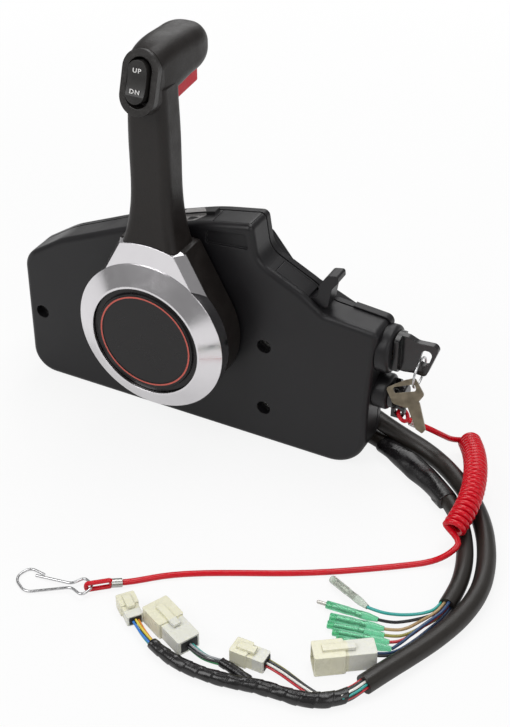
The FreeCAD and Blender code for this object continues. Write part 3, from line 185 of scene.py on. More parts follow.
looks = {
    # ABS case, spark-eroded mould: an even fine grain that spreads the highlights
    "caseAbs": {"color": "#141315", "second": "#1a191b", "rough": 0.38, "grain": 0.5, "depth": 0.06,
                "patch": 30, "edge": 0.8, "shader": {"IOR": 1.5, "Specular IOR Level": 0.33}},
    # Glass-filled nylon lever: a warmer, rougher black with a pebbled grain
    "leverNylon": {"color": "#161312", "second": "#24201e", "rough": 0.42, "grain": 1.1, "depth": 0.35,
                   "patch": 9, "edge": 0.8, "shader": {"IOR": 1.5, "Specular IOR Level": 0.3}},
    # Polished ABS key head, clip and stop button: near mirror black with a soft long ripple
    "polishedAbs": {"color": "#161516", "second": "#1b1a1b", "rough": 0.22, "grain": 3.0, "depth": 0.03,
                    "patch": 18, "edge": 0.6, "shader": {"IOR": 1.54}},
    # Switch bezel: satin ABS with a leathery grain that catches the light
    "bezelAbs": {"color": "#1a1817", "second": "#2c2927", "rough": 0.34, "grain": 1.3, "depth": 0.5,
                 "patch": 4, "edge": 0.8, "shader": {"IOR": 1.52}},
    # ABS face of the cap: a duller polish that keeps it dark
    "capAbs": {"color": "#171516", "second": "#1b191a", "rough": 0.3, "grain": 3.0, "depth": 0.03,
               "patch": 18, "edge": 0.6, "shader": {"IOR": 1.5, "Specular IOR Level": 0.3}},
    # Moulded polypropylene rocker and inner switch: dull black under the pale legends
    "rockerPlastic": {"color": "#1a1918", "second": "#262422", "rough": 0.42, "grain": 0.4, "depth": 0.05,
                      "patch": 8, "edge": 0.6, "shader": {"IOR": 1.49}},
    # Chromium plate on ABS: mirror with faint wipe marks
    "chromePlate": {"color": "#dad7da", "second": "#e4e2e4", "rough": 0.15, "spread": 0.05, "grain": 9.0,
                    "depth": 0.02, "patch": 12, "edge": 0.7, "shader": {"Metallic": 1.0}},
    # Red ABS trigger: even, bright, half gloss
    "redAbs": {"color": "#c20c22", "second": "#cc162c", "rough": 0.34, "grain": 0.6, "depth": 0.03,
               "patch": 10, "edge": 0.5, "shader": {"IOR": 1.5, "Specular IOR Level": 0.25}},
    # Orange-red paint of the ring in the cap: a satin line that stands out from the black
    "ringPaint": {"color": "#b8463a", "second": "#cc5a4a", "rough": 0.35, "grain": 0.5, "depth": 0.02,
                  "patch": 6, "edge": 0.2, "shader": {"IOR": 1.5}},
    # Zinc-plated steel: pale grey with fine cloudy spangle
    "zincSteel": {"color": "#a7a8a4", "second": "#c0c1bc", "rough": 0.36, "grain": 0.9, "depth": 0.03,
                  "patch": 3, "edge": 0.2, "shader": {"Metallic": 1.0}},
    # Drawn stainless wire: bright, with fine drawing marks
    "drawnWire": {"color": "#b9b9ba", "second": "#d2d2d3", "rough": 0.26, "grain": 0.5, "depth": 0.02,
                  "patch": 2, "edge": 0.1, "stretch": (0.2, 1, 1), "shader": {"Metallic": 1.0}},
    # Nickel-plated brass key blank: warm grey, brushed up and down
    "brushedKey": {"color": "#7f7564", "second": "#9b907d", "rough": 0.36, "grain": 0.35, "depth": 0.05,
                   "patch": 5, "edge": 0.25, "stretch": (1, 1, 0.08), "shader": {"Metallic": 1.0}},
    # Free-cutting brass of the key lock and the shaft bushes: yellow with machining marks
    "turnedBrass": {"color": "#b08d4f", "second": "#c5a466", "rough": 0.3, "grain": 0.3, "depth": 0.03,
                    "patch": 5, "edge": 0.2, "stretch": (0.1, 1, 1), "shader": {"Metallic": 1.0}},
    # Acetal gears: milky white, waxy
    "acetalGear": {"color": "#d8d5c8", "second": "#e2dfd4", "rough": 0.4, "grain": 0.8, "depth": 0.03,
                   "patch": 12, "edge": 0.3, "shader": {"IOR": 1.48}},
    # Die-cast aluminium: grainy and dull
    "castAlloy": {"color": "#8f9193", "second": "#a2a4a5", "rough": 0.5, "grain": 0.9, "depth": 0.1,
                  "patch": 8, "edge": 0.4, "shader": {"Metallic": 1.0}},
    # Neoprene grommet: soft black with a chalky bloom. The same black makes the plates behind the
    # connectors, painted shade in place of their dark recesses
    "neopreneBlack": {"color": "#141414", "second": "#1f1f1e", "rough": 0.6, "grain": 0.8, "depth": 0.08,
                      "patch": 6, "edge": 0.4, "shader": {"IOR": 1.52}},
    # PVC harness tube: brown-black, half gloss, slightly uneven along its length
    "pvcTube": {"color": "#1e1b18", "second": "#2b2723", "rough": 0.4, "grain": 6.0, "depth": 0.35,
                "patch": 20, "edge": 0.2, "shader": {"IOR": 1.5, "Specular IOR Level": 0.45}},
    # Vinyl tape wound over the bundle: glossy black with small wrinkles
    "vinylTape": {"color": "#100f10", "second": "#1b191a", "rough": 0.24, "grain": 3.0, "depth": 0.4,
                  "strength": 0.5, "patch": 9, "edge": 0.2, "shader": {"IOR": 1.53}},
    # PVC lanyard: saturated red with a wet gloss
    "lanyardPvc": {"color": "#c20218", "second": "#d00a20", "rough": 0.22, "grain": 3.0, "depth": 0.06,
                   "patch": 8, "edge": 0.1, "shader": {"IOR": 1.5, "Specular IOR Level": 0.4}},
    # Clear heat-shrink ferrule over the lanyard: frosted
    "clearShrink": {"color": "#e9e6e2", "second": "#f2f0ee", "rough": 0.25, "grain": 2.0, "depth": 0.1,
                    "patch": 4, "edge": 0.2, "shader": {"IOR": 1.49, "Transmission Weight": 0.75}},
    # Off-white ink of the rocker legends: flat, a little worn
    "legendInk": {"color": "#d2d0ce", "second": "#e0dfdd", "rough": 0.5, "grain": 0.3, "depth": 0.01,
                  "patch": 2, "edge": 0.05, "shader": {"IOR": 1.45}},
    # Polycarbonate film of the position plate: lighter than the case, with a soft sheen
    "labelFilm": {"color": "#252425", "second": "#2f2e2f", "rough": 0.34, "grain": 0.4, "depth": 0.03,
                  "patch": 14, "edge": 0.3, "shader": {"IOR": 1.5}},
    # Screen-printed grey ink of the position mark: flat, slightly blotched
    "patchInk": {"color": "#8f8d8c", "second": "#a9a7a6", "rough": 0.5, "grain": 0.4, "depth": 0.01,
                 "patch": 3, "edge": 0.05, "shader": {"IOR": 1.45}},
    # Black ink of the arrow on it: flat and dark
    "arrowInk": {"color": "#1b1a1a", "second": "#252424", "rough": 0.5, "grain": 0.4, "depth": 0.01,
                 "patch": 2, "edge": 0.05, "shader": {"IOR": 1.45}},
    # Tinned copper contact inside each bullet terminal: a pale metal that shines through the cover
    "tinnedCopper": {"color": "#b8b6b0", "second": "#d0cec8", "rough": 0.3, "grain": 0.8, "depth": 0.03,
                     "patch": 2, "edge": 0.1, "shader": {"Metallic": 1.0}},
    # Green and grey bullet covers
    "greenVinyl": {**softVinyl, "color": "#6fd0a0", "second": "#8fdcb6"},
    "greyVinyl": {**softVinyl, "color": "#c4cfc4", "second": "#d9e0d6"},
}
materials = {name: surface(name, look) for name, look in looks.items()}

# The painted line in the cap lies between two darker shoulders
ringBand = {
    "centre": (0.0, 0.0, 86.7),
    "middle": 34.3,
    "half": 0.45,
    "blur": 0.15,
    "shoulder": "#2a1716",
}


def narrowLine(material):
    # Keep the colour inside a thin band round the hub and darken it on both sides
    tree = material.node_tree
    centred = addNode(tree, "ShaderNodeVectorMath",
                      {"operation": "SUBTRACT", 1: Vector(ringBand["centre"]) * mm},
                      {0: tree.nodes["Texture Coordinate"].outputs["Object"]})
    flat = addNode(tree, "ShaderNodeVectorMath", {"operation": "MULTIPLY", 1: (1, 0, 1)},
                   {0: centred.outputs["Vector"]})
    reach = addNode(tree, "ShaderNodeVectorMath", {"operation": "LENGTH"}, {0: flat.outputs["Vector"]})
    off = addNode(tree, "ShaderNodeMath", {"operation": "SUBTRACT", 1: ringBand["middle"] * mm},
                  {0: reach.outputs["Value"]})
    away = addNode(tree, "ShaderNodeMath", {"operation": "ABSOLUTE"}, {0: off.outputs[0]})
    share = addNode(tree, "ShaderNodeMapRange",
                    {"From Min": ringBand["half"] * mm,
                     "From Max": (ringBand["half"] + ringBand["blur"]) * mm}, {"Value": away.outputs[0]})
    tint(material, share.outputs["Result"], ringBand["shoulder"])


narrowLine(materials["ringPaint"])

# PVC wire insulation: clean colour with a narrow soft highlight
wirePvc = {"rough": 0.33, "grain": 1.5, "depth": 0.05, "patch": 6, "edge": 0.05, "shader": {"IOR": 1.53}}
coverColors = {
    "blue": ("#2f6fc0", "#3a7ed0"), "teal": ("#2b9a94", "#38aaa2"), "yellow": ("#d8c03a", "#e3cf55"),
    "orange": ("#d9812c", "#e59142"), "grey": ("#8d9093", "#9ca0a3"), "green": ("#2f8a52", "#3d9c62"),
    "black": ("#1e1e20", "#2a2a2d"), "white": ("#dfded8", "#ebeae5"), "tan": ("#a98d63", "#b99e75"),
    "red": ("#b9202b", "#cc2f3a"), "olive": ("#8f8a3c", "#a09a4c"), "navy": ("#2b4468", "#365378"),
}
covers = {}
for name, (color, second) in coverColors.items():
    covers[name] = surface("cover" + name.capitalize(), {**wirePvc, "color": color, "second": second})

# Unfilled nylon of the connectors: cream, with light that soaks in
housingNylon = {"color": "#dedbc2", "second": "#e6e4ce", "rough": 0.28, "grain": 1.2, "depth": 0.05,
                "patch": 9, "edge": 0.4, "shader": {"IOR": 1.53, "Subsurface Weight": 0.25,
                                                    "Subsurface Radius": (0.003, 0.003, 0.002)}}
rearNylon = {"color": "#dcdcd2", "blur": 0.4}
# The middle of each connector, its turn from the X axis, its size, and the joint behind which it is greyer
connectors = {
    "connector_small": {"place": (76.6, -222.4, 4.6), "turn": -40.0,
                        "size": (20.6, 12.0, 9.0), "joint": 4.0},
    "connector_wide": {"place": (107.5, -224.5, 6.1), "turn": -26.0,
                       "size": (38.0, 18.0, 12.0), "joint": 1.0},
    "connector_mid": {"place": (161.0, -224.0, 5.6), "turn": 0.0,
                      "size": (22.5, 12.5, 11.0), "joint": 4.0},
    "connector_large": {"place": (211.3, -200.0, 7.6), "turn": 35.0,
                        "size": (35.0, 15.0, 15.0), "joint": 2.0},
}


def paintConnector(name, spec):
    # Cream at the mating end and clearer grey behind the joint
    material = surface("housing_" + name, housingNylon)
    tree = material.node_tree
    turned = addNode(tree, "ShaderNodeMapping",
                     {"vector_type": "TEXTURE", "Location": Vector(spec["place"]) * mm,
                      "Rotation": (0, 0, math.radians(spec["turn"]))},
                     {"Vector": tree.nodes["Texture Coordinate"].outputs["Object"]})
    split = addNode(tree, "ShaderNodeSeparateXYZ", {}, {"Vector": turned.outputs["Vector"]})
    rear = addNode(tree, "ShaderNodeMapRange",
                   {"From Min": (spec["joint"] - rearNylon["blur"]) * mm,
                    "From Max": (spec["joint"] + rearNylon["blur"]) * mm}, {"Value": split.outputs["X"]})
    tint(material, rear.outputs["Result"], rearNylon["color"])
    paint(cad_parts[name], material)


finishes = {
    "caseAbs": ["front_case", "rear_case", "back_plate", "top_panel", "accelerator_lever", "stop_switch",
                "lock_nut"],
    "labelFilm": ["position_plate"],
    "zincSteel": ["back_screws", "mount_sleeves", "hub_bolt", "main_shaft", "arm_posts", "accelerator_pin",
                  "lock_rod", "cord_ferrule"],
    "drawnWire": ["detent_spring", "snap_hook", "key_ring"],
    "leverNylon": ["lever_arm"],
    "chromePlate": ["hub_cover"],
    "capAbs": ["hub_cap"],
    "ringPaint": ["cap_ring"],
    "polishedAbs": ["key_head", "lanyard_clip", "stop_button"],
    "bezelAbs": ["rocker_bezel"],
    "rockerPlastic": ["trim_rocker", "neutral_switch"],
    "redAbs": ["lock_trigger"],
    "turnedBrass": ["shaft_bushes", "lock_rotor", "lock_body"],
    "acetalGear": ["drive_gear", "shift_arm", "throttle_arm", "detent_wheel"],
    "castAlloy": ["neutral_lock_ring"],
    "brushedKey": ["key_blade", "spare_key"],
    "neopreneBlack": ["harness_grommet"],
    "clearShrink": ["lead_ferrule"],
}
for finish, nodes in finishes.items():
    for name in nodes:
        paint(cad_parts[name], materials[finish])
for name, spec in connectors.items():
    paintConnector(name, spec)
print("materials made:", len(bpy.data.materials))


# Shapes for cords, in millimetres

def addSpline(name, points, radius=0.0, resolution=8, roundness=6):
    curve = bpy.data.curves.new(name, "CURVE")
    curve.dimensions = "3D"
    spline = curve.splines.new("NURBS")
    spline.points.add(len(points) - 1)
    for place, point in zip(spline.points, points):
        place.co = (*(Vector(point) * mm), 1)
    spline.order_u = 3
    spline.use_endpoint_u = True
    curve.resolution_u = resolution
    curve.bevel_depth = radius * mm
    curve.bevel_resolution = roundness
    curve.use_fill_caps = radius > 0
    return addObject(name, curve)


def routeLine(points, count):
    # Evenly spaced points and directions along a route's smooth line, and its length
    curve = addSpline("routeLine", points, resolution=12)
    mesh = bpy.data.meshes.new_from_object(curve)
    line = [vertex.co / mm for vertex in mesh.vertices]
    bpy.data.objects.remove(curve)
    bpy.data.meshes.remove(mesh)
    reach = [0.0]
    for a, b in zip(line, line[1:]):
        reach.append(reach[-1] + (b - a).length)
    places = []
    step = 0
    for i in range(count):
        goal = reach[-1] * i / (count - 1)
        while step < len(line) - 2 and reach[step + 1] < goal:
            step += 1
        share = (goal - reach[step]) / max(reach[step + 1] - reach[step], 1e-9)
        places.append(line[step].lerp(line[step + 1], share))
    return places, directions(places), reach[-1]


def directions(points):
    last = len(points) - 1
    return [(points[min(i + 1, last)] - points[max(i - 1, 0)]).normalized() for i in range(last + 1)]


def squareOff(side, ahead):
    # What is left of side when it stands square to ahead, at length one
    return (side - ahead * side.dot(ahead)).normalized()


def around(right, up, angle):
    return right * math.cos(angle) + up * math.sin(angle)


def levelAxes(ahead):
    # The level direction square to ahead, and the upward one
    right = ahead.cross(Vector((0, 0, 1))).normalized()
    return right, right.cross(ahead)


def skinRings(name, rings, material):
    # A closed skin over rings of points
    sides = len(rings[0])
    vertices = [point * mm for ring in rings for point in ring]
    faces = []
    for start in range(0, len(vertices) - sides, sides):
        for k in range(sides):
            a = start + k
            b = start + (k + 1) % sides
            faces.append((a, b, b + sides, a + sides))
    faces.append(list(reversed(range(sides))))
    faces.append(list(range(len(vertices) - sides, len(vertices))))
    mesh = bpy.data.meshes.new(name)
    mesh.from_pydata(vertices, [], faces)
    mesh.polygons.foreach_set("use_smooth", [True] * len(faces))
    mesh.update()
    piece = addObject(name, mesh)
    paint(piece, material)
    return piece


def roundTube(name, points, radius, sides, material):
    rings = []
    side = directions(points[:2])[0].orthogonal()
    for point, ahead in zip(points, directions(points)):
        side = squareOff(side, ahead)
        lift = ahead.cross(side)
        rings.append([point + around(side, lift, 2 * math.pi * k / sides) * radius for k in range(sides)])
    return skinRings(name, rings, material)


def wireBundle(name, spec):
    # Wires side by side round the route's line: (side, lift, radius, cover)
    places, ahead = routeLine(spec["route"], cordMesh["wireRings"])[:2]
    pieces = []
    for number, (side, lift, radius, cover) in enumerate(spec["wires"]):
        points = []
        for i, (point, way) in enumerate(zip(places, ahead)):
            angle = spec["twist"] * i / (cordMesh["wireRings"] - 1)
            right, up = levelAxes(way)
            a = side * math.cos(angle) - lift * math.sin(angle)
            b = side * math.sin(angle) + lift * math.cos(angle)
            points.append(point + right * a + up * b)
        piece = roundTube(name + str(number + 1), points, radius, cordMesh["wireSides"], covers[cover])
        reach = sum((b - a).length for a, b in zip(points, points[1:]))
        pieces.append({"piece": piece, "path": [tuple(point * mm) for point in points],
                       "length": reach * mm, "diameter": 2 * radius * mm})
    return pieces


# The second train of folds in a wrap, and how both fade in and out along the run
creases = {"second": 0.6, "pace": 1.7, "shift": 1.0, "fade": 0.4, "fadePace": 0.23, "fadeTurn": 2.0}


def creaseHeight(wrap, angle, run):
    drift = run * wrap["drift"]
    back = (wrap["folds"] + 1) * angle - creases["pace"] * drift + creases["shift"]
    height = math.sin(wrap["folds"] * angle + drift) + creases["second"] * math.sin(back)
    fade = math.sin(run * creases["fadePace"] + creases["fadeTurn"] * math.sin(angle))
    return height * (1 - creases["fade"] + creases["fade"] * fade)


def wrappedTube(name, wrap):
    # Tape or loose film round a bundle: helical lap edges, creases and a swelling radius
    places, ahead, length = routeLine(wrap["route"], wrap["rings"])
    swell = wrap["swell"]
    sides = cordMesh["wrapSides"]
    rings = []
    for i, (point, way) in enumerate(zip(places, ahead)):
        share = i / (wrap["rings"] - 1)
        along = share * (len(swell) - 1)
        low = min(int(along), len(swell) - 2)
        radius = swell[low] + (swell[low + 1] - swell[low]) * (along - low)
        right, up = levelAxes(way)
        run = share * length
        ring = []
        for k in range(sides):
            angle = 2 * math.pi * k / sides
            lap = ((run - angle / (2 * math.pi) * wrap["pitch"]) / wrap["pitch"]) % 1.0
            reach = radius + wrap["lap"] * (1 - lap) + wrap["crease"] * creaseHeight(wrap, angle, run)
            place = point + right * math.cos(angle) * reach * wrap["wide"] + up * math.sin(angle) * reach
            place.z = max(place.z, cordMesh["lowest"])
            ring.append(place)
        rings.append(ring)
    piece = skinRings(name, rings, materials["vinylTape"])
    return {"piece": piece, "path": [tuple(point * mm) for point in places], "length": length * mm}


# Harness: routes, radii and wires in millimetres

# Rings and sides of the cord meshes, and the height below which a wrap lies flat
cordMesh = {"wireRings": 26, "wireSides": 14, "wrapSides": 32, "lowest": 0.05}

thickTube = {
    "radius": 6.3,
    "route": [
        (124, 9.3, 25), (138, 6.6, 21), (152, 5.3, 16), (166, 5.2, 10.8), (180.5, 3.5, 7.4),
        (196, -3.6, 6.3), (212, -15.4, 6.3), (227.5, -30, 6.3), (241, -47, 6.3), (251.5, -66, 6.3),
        (259.5, -88, 6.3), (263.8, -111, 6.3), (261.6, -136, 6.3), (254.5, -160, 6.3),
        (245.5, -181, 6.3), (237.5, -198, 6.3), (230.6, -214, 6.2),
    ],
}
thinTube = {
    "radius": 5.6,
    "route": [
        (124, 6, 6.6), (139, 3.6, 6), (154, -2, 5.6), (171, -10.6, 5.6), (188, -19, 5.6),
        (204, -29, 5.6), (218, -41.5, 5.6), (229.5, -55, 5.6), (238, -70, 5.6), (244.4, -86, 5.6),
        (248.4, -102, 5.6), (250, -117, 5.6), (249.6, -131, 5.6),
    ],
}
# Loose film wrap over the thinner loom next to the case
looseWrap = {
    "rings": 150, "pitch": 70.0, "lap": 0.5, "crease": 0.42, "folds": 3, "drift": 0.07, "wide": 1.24,
    "swell": [5.8, 5.9, 6.2, 6.5, 6.6, 6.5, 6.3, 6.1, 5.8],
    "route": [
        (152, -1.4, 5.8), (160, -5.6, 6.2), (171, -11.6, 6.4), (188, -20.4, 6.4), (203, -30, 6.2),
        (213.5, -38.4, 5.8),
    ],
}
tapedTail = {
    "rings": 260, "pitch": 9.0, "lap": 0.45, "crease": 0.12, "folds": 4, "drift": 0.4, "wide": 1.0,
    "swell": [2.9, 4.0, 4.6, 4.4, 4.1, 4.3, 4.0, 4.1, 3.8, 4.0, 3.7, 3.4],
    "route": [
        (230.6, -214, 6.2), (227, -222, 5.4), (220.5, -229.5, 4.6), (212, -235.5, 4.2), (201, -239.5, 4.2),
        (188, -240.6, 4.2), (175, -242, 4.2), (161, -245.6, 4.2), (147, -247.8, 4.2),
        (132, -248.2, 4.2), (117, -246, 4.2), (103.5, -241, 4.2),
    ],
}
tailBranch = {
    "rings": 60, "pitch": 7.0, "lap": 0.35, "crease": 0.1, "folds": 3, "drift": 0.4, "wide": 1.0,
    "swell": [2.6, 3.0, 2.9, 2.7],
    "route": [(168.5, -239.5, 3.4), (161, -237.6, 3.1), (154, -235.4, 3.1), (147, -234.2, 3.1)],
}
# Wires that show between the sleeve's end and the tape
sleeveEnd = {
    "twist": 0.25,
    "route": [(233.4, -208, 6.2), (230.6, -214, 6.2), (227, -222, 5.6), (222, -228.4, 5.0)],
    "wires": [(-3.1, 0.6, 0.8, "red"), (-2.2, 2.3, 0.8, "teal"), (-0.6, 3.2, 0.8, "white"),
              (1.1, 3.1, 0.8, "black"), (2.5, 2.0, 0.8, "red"), (3.2, 0.3, 0.8, "tan"),
              (-2.4, -1.6, 0.8, "black"), (2.4, -1.8, 0.8, "navy")],
}
smallWires = {
    "twist": 0.5,
    "route": [(85.2, -229.6, 4.6), (90.6, -233.6, 4.4), (97, -237.6, 4.2), (103.5, -241, 4.2)],
    "wires": [(-1.7, 0.3, 0.75, "orange"), (0.0, 1.3, 0.75, "yellow"), (1.7, 0.3, 0.75, "blue"),
              (0.9, -1.2, 0.75, "teal"), (-0.9, -1.2, 0.75, "black")],
}
wideWires = {
    "twist": 0.5,
    "route": [(124.6, -232.8, 5.4), (131.6, -235, 4.2), (139.4, -235.6, 3.2), (147, -234.2, 3.1)],
    "wires": [(-1.8, 0.3, 0.75, "teal"), (-0.1, 1.3, 0.75, "grey"), (1.7, 0.3, 0.75, "black"),
              (0.9, -1.2, 0.75, "green"), (-0.9, -1.2, 0.75, "black")],
}
midWires = {
    "twist": 0.5,
    "route": [(172.3, -224, 5.4), (181.5, -225, 4.6), (192, -228.4, 4.6), (202.5, -232.2, 5.2),
              (212, -234.2, 5)],
    "wires": [(-2.1, 0.4, 0.8, "olive"), (-0.5, 1.5, 0.8, "black"), (1.2, 1.0, 0.8, "white"),
              (1.9, -0.7, 0.8, "red"), (0.0, -1.2, 0.8, "black")],
}
largeWires = {
    "twist": 0.5,
    "route": [
        (226.9, -189.1, 6), (232.8, -185.6, 4.8), (237.6, -178.4, 3.4), (241.2, -169.8, 2.8),
        (244.8, -160.6, 3), (248, -151, 3.6), (251.6, -141.2, 4.4), (252.7, -131, 4.9),
    ],
    "wires": [(-0.9, 0.4, 0.85, "navy"), (0.9, 0.0, 0.85, "black")],
}
bulletWires = {
    "radius": 1.0,
    "lengths": [51.6, 45.2, 45.4, 47.7, 48.3, 51.2],
    "covers": ["teal", "black", "tan", "olive", "red", "navy"],
    "routes": [
        [(207.1, -156.3, 7.4), (215.5, -157.6, 8.2), (225, -154.8, 7.8), (234, -149.6, 7.2),
         (241.4, -143.4, 7), (245.2, -137, 6.7), (245.7, -131, 6.5)],
        [(215.6, -158.6, 2.6), (223.4, -157.4, 2.4), (231.4, -153, 3.2), (238.8, -147.4, 4.2),
         (244, -141.4, 4.2), (246.6, -136.6, 4), (246.7, -131, 4)],
        [(222, -164.1, 2.6), (228.6, -161.4, 1.8), (234.2, -156.4, 1.8), (239, -150.4, 4),
         (244.2, -145.4, 7.2), (247.4, -138.4, 8), (247.9, -131, 7.5)],
        [(224.2, -168.9, 2.6), (231, -166.2, 1.8), (236.6, -160.4, 1.8), (241, -152.6, 2),
         (245.4, -145, 2.2), (248.8, -138, 2.6), (249.1, -131, 2.7)],
        [(229.2, -172.9, 2.6), (234.4, -169.8, 2.4), (238.4, -163.4, 3.4), (242.2, -155.4, 4.8),
         (246.2, -146.8, 5.6), (249.2, -138.8, 5.8), (249.8, -131, 5.6)],
        [(232.6, -177.4, 2.6), (236.6, -172.4, 5), (239.8, -164.6, 6.8), (243.4, -156, 8),
         (247.4, -147, 8.8), (250.4, -138.8, 9), (250.6, -131, 9)],
    ],
}


def addCord(name, route, radius, material):
    piece = addSpline(name, route, radius)
    paint(piece, material)
    return piece


harness = {
    "thick": addCord("thickTube", thickTube["route"], thickTube["radius"], materials["pvcTube"]),
    "thin": addCord("thinTube", thinTube["route"], thinTube["radius"], materials["pvcTube"]),
    "film": wrappedTube("looseWrap", looseWrap),
    "tail": wrappedTube("tapedTail", tapedTail),
    "branch": wrappedTube("tailBranch", tailBranch),
    "ends": wireBundle("sleeveEndWire", sleeveEnd),
    "small": wireBundle("smallWire", smallWires),
    "wide": wireBundle("wideWire", wideWires),
    "mid": wireBundle("midWire", midWires),
    "large": wireBundle("largeWire", largeWires),
    "bullet": [addCord("bulletWire" + str(i + 1), route, bulletWires["radius"], covers[cover])
               for i, (route, cover) in enumerate(zip(bulletWires["routes"], bulletWires["covers"]))],
}
print("harness laid")


# Lanyard: a lead down from the clip, a coil and a long end to the snap hook

lanyard = {
    "radius": 2.0,
    "lead": [(171.4, -11.4, 41), (183.4, -3.8, 33), (191, 6, 22.6), (195.4, 16, 13), (199, 24.6, 9.4)],
    "leadRings": 41,
    "leadSides": 20,
    "coilAxis": [
        (205, 24.5, 9.2), (212.4, 11.6, 13.6), (220.4, -6.4, 18.8), (226.6, -23.6, 22), (230.6, -39, 22),
        (232.6, -53.4, 21.8), (232.6, -65.6, 20), (231.4, -76, 17.6),
    ],
    "coilRadius": 6.3,
    "turns": 25,
    "pointsPerTurn": 14,
    "long": [
        (239, -80.6, 13.4), (235.6, -87, 8.6),
        (229.4, -92.4, 4.2), (221.6, -98, 2), (211.8, -105.4, 2), (200.4, -113.6, 2), (185, -124.2, 2),
        (166, -136.6, 2), (144, -149, 2), (121, -160.4, 2), (98, -172.4, 2), (80, -184, 2),
        (67.4, -195.6, 2), (60.6, -202.4, 2.9), (53, -208.8, 4.2),
    ],
    "resolution": 3,
    "roundness": 4,
}
# Round loop through the clip's eye
clipLoop = {"eye": (165.0, -13.0, 47.4), "radius": 4.4, "cord": 1.4, "steps": 24, "sides": 12}
# Flattened loop through the snap hook
endLoop = {"half": 2.6, "near": 1.0, "far": 12.0, "flat": 2.2, "cord": 1.5, "steps": 32, "sides": 12}


def coilPoints():
    # Helix round the coil's bent axis, starting where the lead comes in
    count = lanyard["turns"] * lanyard["pointsPerTurn"] + 1
    places, ahead = routeLine(lanyard["coilAxis"], count)[:2]
    side = squareOff(Vector(lanyard["lead"][-1]) - places[0], ahead[0])
    points = []
    for i, (place, way) in enumerate(zip(places, ahead)):
        side = squareOff(side, way)
        angle = 2 * math.pi * i / lanyard["pointsPerTurn"]
        points.append(place + around(side, way.cross(side), angle) * lanyard["coilRadius"])
    return points


def addLead(coilStart):
    # The lead as a mesh tube, and the path down its middle
    line = routeLine(lanyard["lead"][:-1] + [coilStart], lanyard["leadRings"])[0]
    piece = roundTube("lanyardLead", line, lanyard["radius"], lanyard["leadSides"], materials["lanyardPvc"])
    return piece, [tuple(point * mm) for point in line]


def addLongCord(coil):
    piece = addSpline("lanyardCord", coil + lanyard["long"], lanyard["radius"],
                      lanyard["resolution"], lanyard["roundness"])
    paint(piece, materials["lanyardPvc"])
    return piece


def addClipLoop():
    eye = Vector(clipLoop["eye"])
    ahead = (Vector(lanyard["lead"][0]) - eye).normalized()
    across = squareOff(Vector((0, 1, 0)), ahead)
    middle = eye + ahead * clipLoop["radius"]
    ring = []
    for i in range(clipLoop["steps"] + 1):
        angle = 2 * math.pi * i / clipLoop["steps"]
        ring.append(middle + around(ahead, across, angle) * clipLoop["radius"])
    return roundTube("eyeLoop", ring, clipLoop["cord"], clipLoop["sides"], materials["lanyardPvc"])


def addEndLoop():
    end = Vector(lanyard["long"][-1])
    way = end - Vector(lanyard["long"][-2])
    way = Vector((way.x, way.y, 0)).normalized()
    middle = (endLoop["near"] + endLoop["far"]) / 2
    reach = (endLoop["far"] - endLoop["near"]) / 2 + endLoop["half"]
    ring = []
    for i in range(endLoop["steps"] + 1):
        angle = 2 * math.pi * i / endLoop["steps"]
        lift = endLoop["half"] * max(-1.0, min(1.0, endLoop["flat"] * math.sin(angle)))
        ring.append(end + way * (middle + reach * math.cos(angle)) + Vector((0, 0, lift)))
    return roundTube("hookLoop", ring, endLoop["cord"], endLoop["sides"], materials["lanyardPvc"])


coil = [tuple(point) for point in coilPoints()]
lead, leadPath = addLead(coil[0])
lanyardCord = addLongCord(coil)
eyeLoop = addClipLoop()
hookLoop = addEndLoop()
print("lanyard laid")


# Bullet terminals

bulletSpec = {
    "ends": [  # tip and wire end of each terminal
        ((175.6, -139.6, 3.0), (207.1, -156.3, 7.4)),
        ((181.9, -161.2, 2.6), (215.6, -158.6, 2.6)),
        ((188.3, -169.9, 2.6), (222.0, -164.1, 2.6)),
        ((189.6, -176.4, 2.6), (224.2, -168.9, 2.6)),
        ((195.0, -180.6, 2.6), (229.2, -172.9, 2.6)),
        ((199.6, -185.0, 2.6), (232.6, -177.4, 2.6)),
    ],
    "grey": 0,  # which terminal has the grey cover
    "pinned": 1,  # which one has a pin in front
    "cover": [(4.0, 1.7), (0.0, 1.7), (0.0, 2.45), (0.5, 2.6), (14.0, 2.6), (15.0, 2.4), (21.0, 2.4),
              (22.0, 2.55), (26.5, 2.5), (33.0, 1.5)],
    "contact": [(4.2, 0.9), (4.2, 1.4), (15.5, 1.5), (16.5, 1.2), (19.0, 1.2), (19.5, 1.7), (23.0, 1.7)],
    "pin": [(-6.4, 0.7), (-5.8, 1.15), (4.0, 1.15), (4.4, 1.5)],
    "sides": 24,
    "creaseAngle": 35,
}


def turnedPiece(name, profile, tip, ahead, material):
    # A disc extruded ring by ring along its axis: (height, radius) from the tip
    height, radius = profile[0]
    bpy.ops.mesh.primitive_circle_add(vertices=bulletSpec["sides"], radius=radius * mm, fill_type="NGON",
                                      location=(0, 0, height * mm))
    piece = bpy.context.object
    piece.name = name
    settle(piece)
    bpy.ops.object.mode_set(mode="EDIT")
    bpy.ops.mesh.select_all(action="SELECT")
    for nextHeight, nextRadius in profile[1:]:
        move = {"value": (0, 0, (nextHeight - height) * mm)}
        bpy.ops.mesh.extrude_region_move(TRANSFORM_OT_translate=move)
        share = nextRadius / radius
        bpy.ops.transform.resize(value=(share, share, 1))
        height, radius = nextHeight, nextRadius
    bpy.ops.mesh.select_all(action="SELECT")
    bpy.ops.mesh.normals_make_consistent(inside=False)
    bpy.ops.object.mode_set(mode="OBJECT")
    bpy.ops.object.shade_smooth_by_angle(angle=math.radians(bulletSpec["creaseAngle"]))
    turn = ahead.to_track_quat("Z", "Y").to_matrix().to_4x4()
    settle(piece, Matrix.Translation(Vector(tip) * mm) @ turn)
    paint(piece, material)
    fixToCase(piece, "bullet_sleeve", "bullet_sleeves")
    return piece


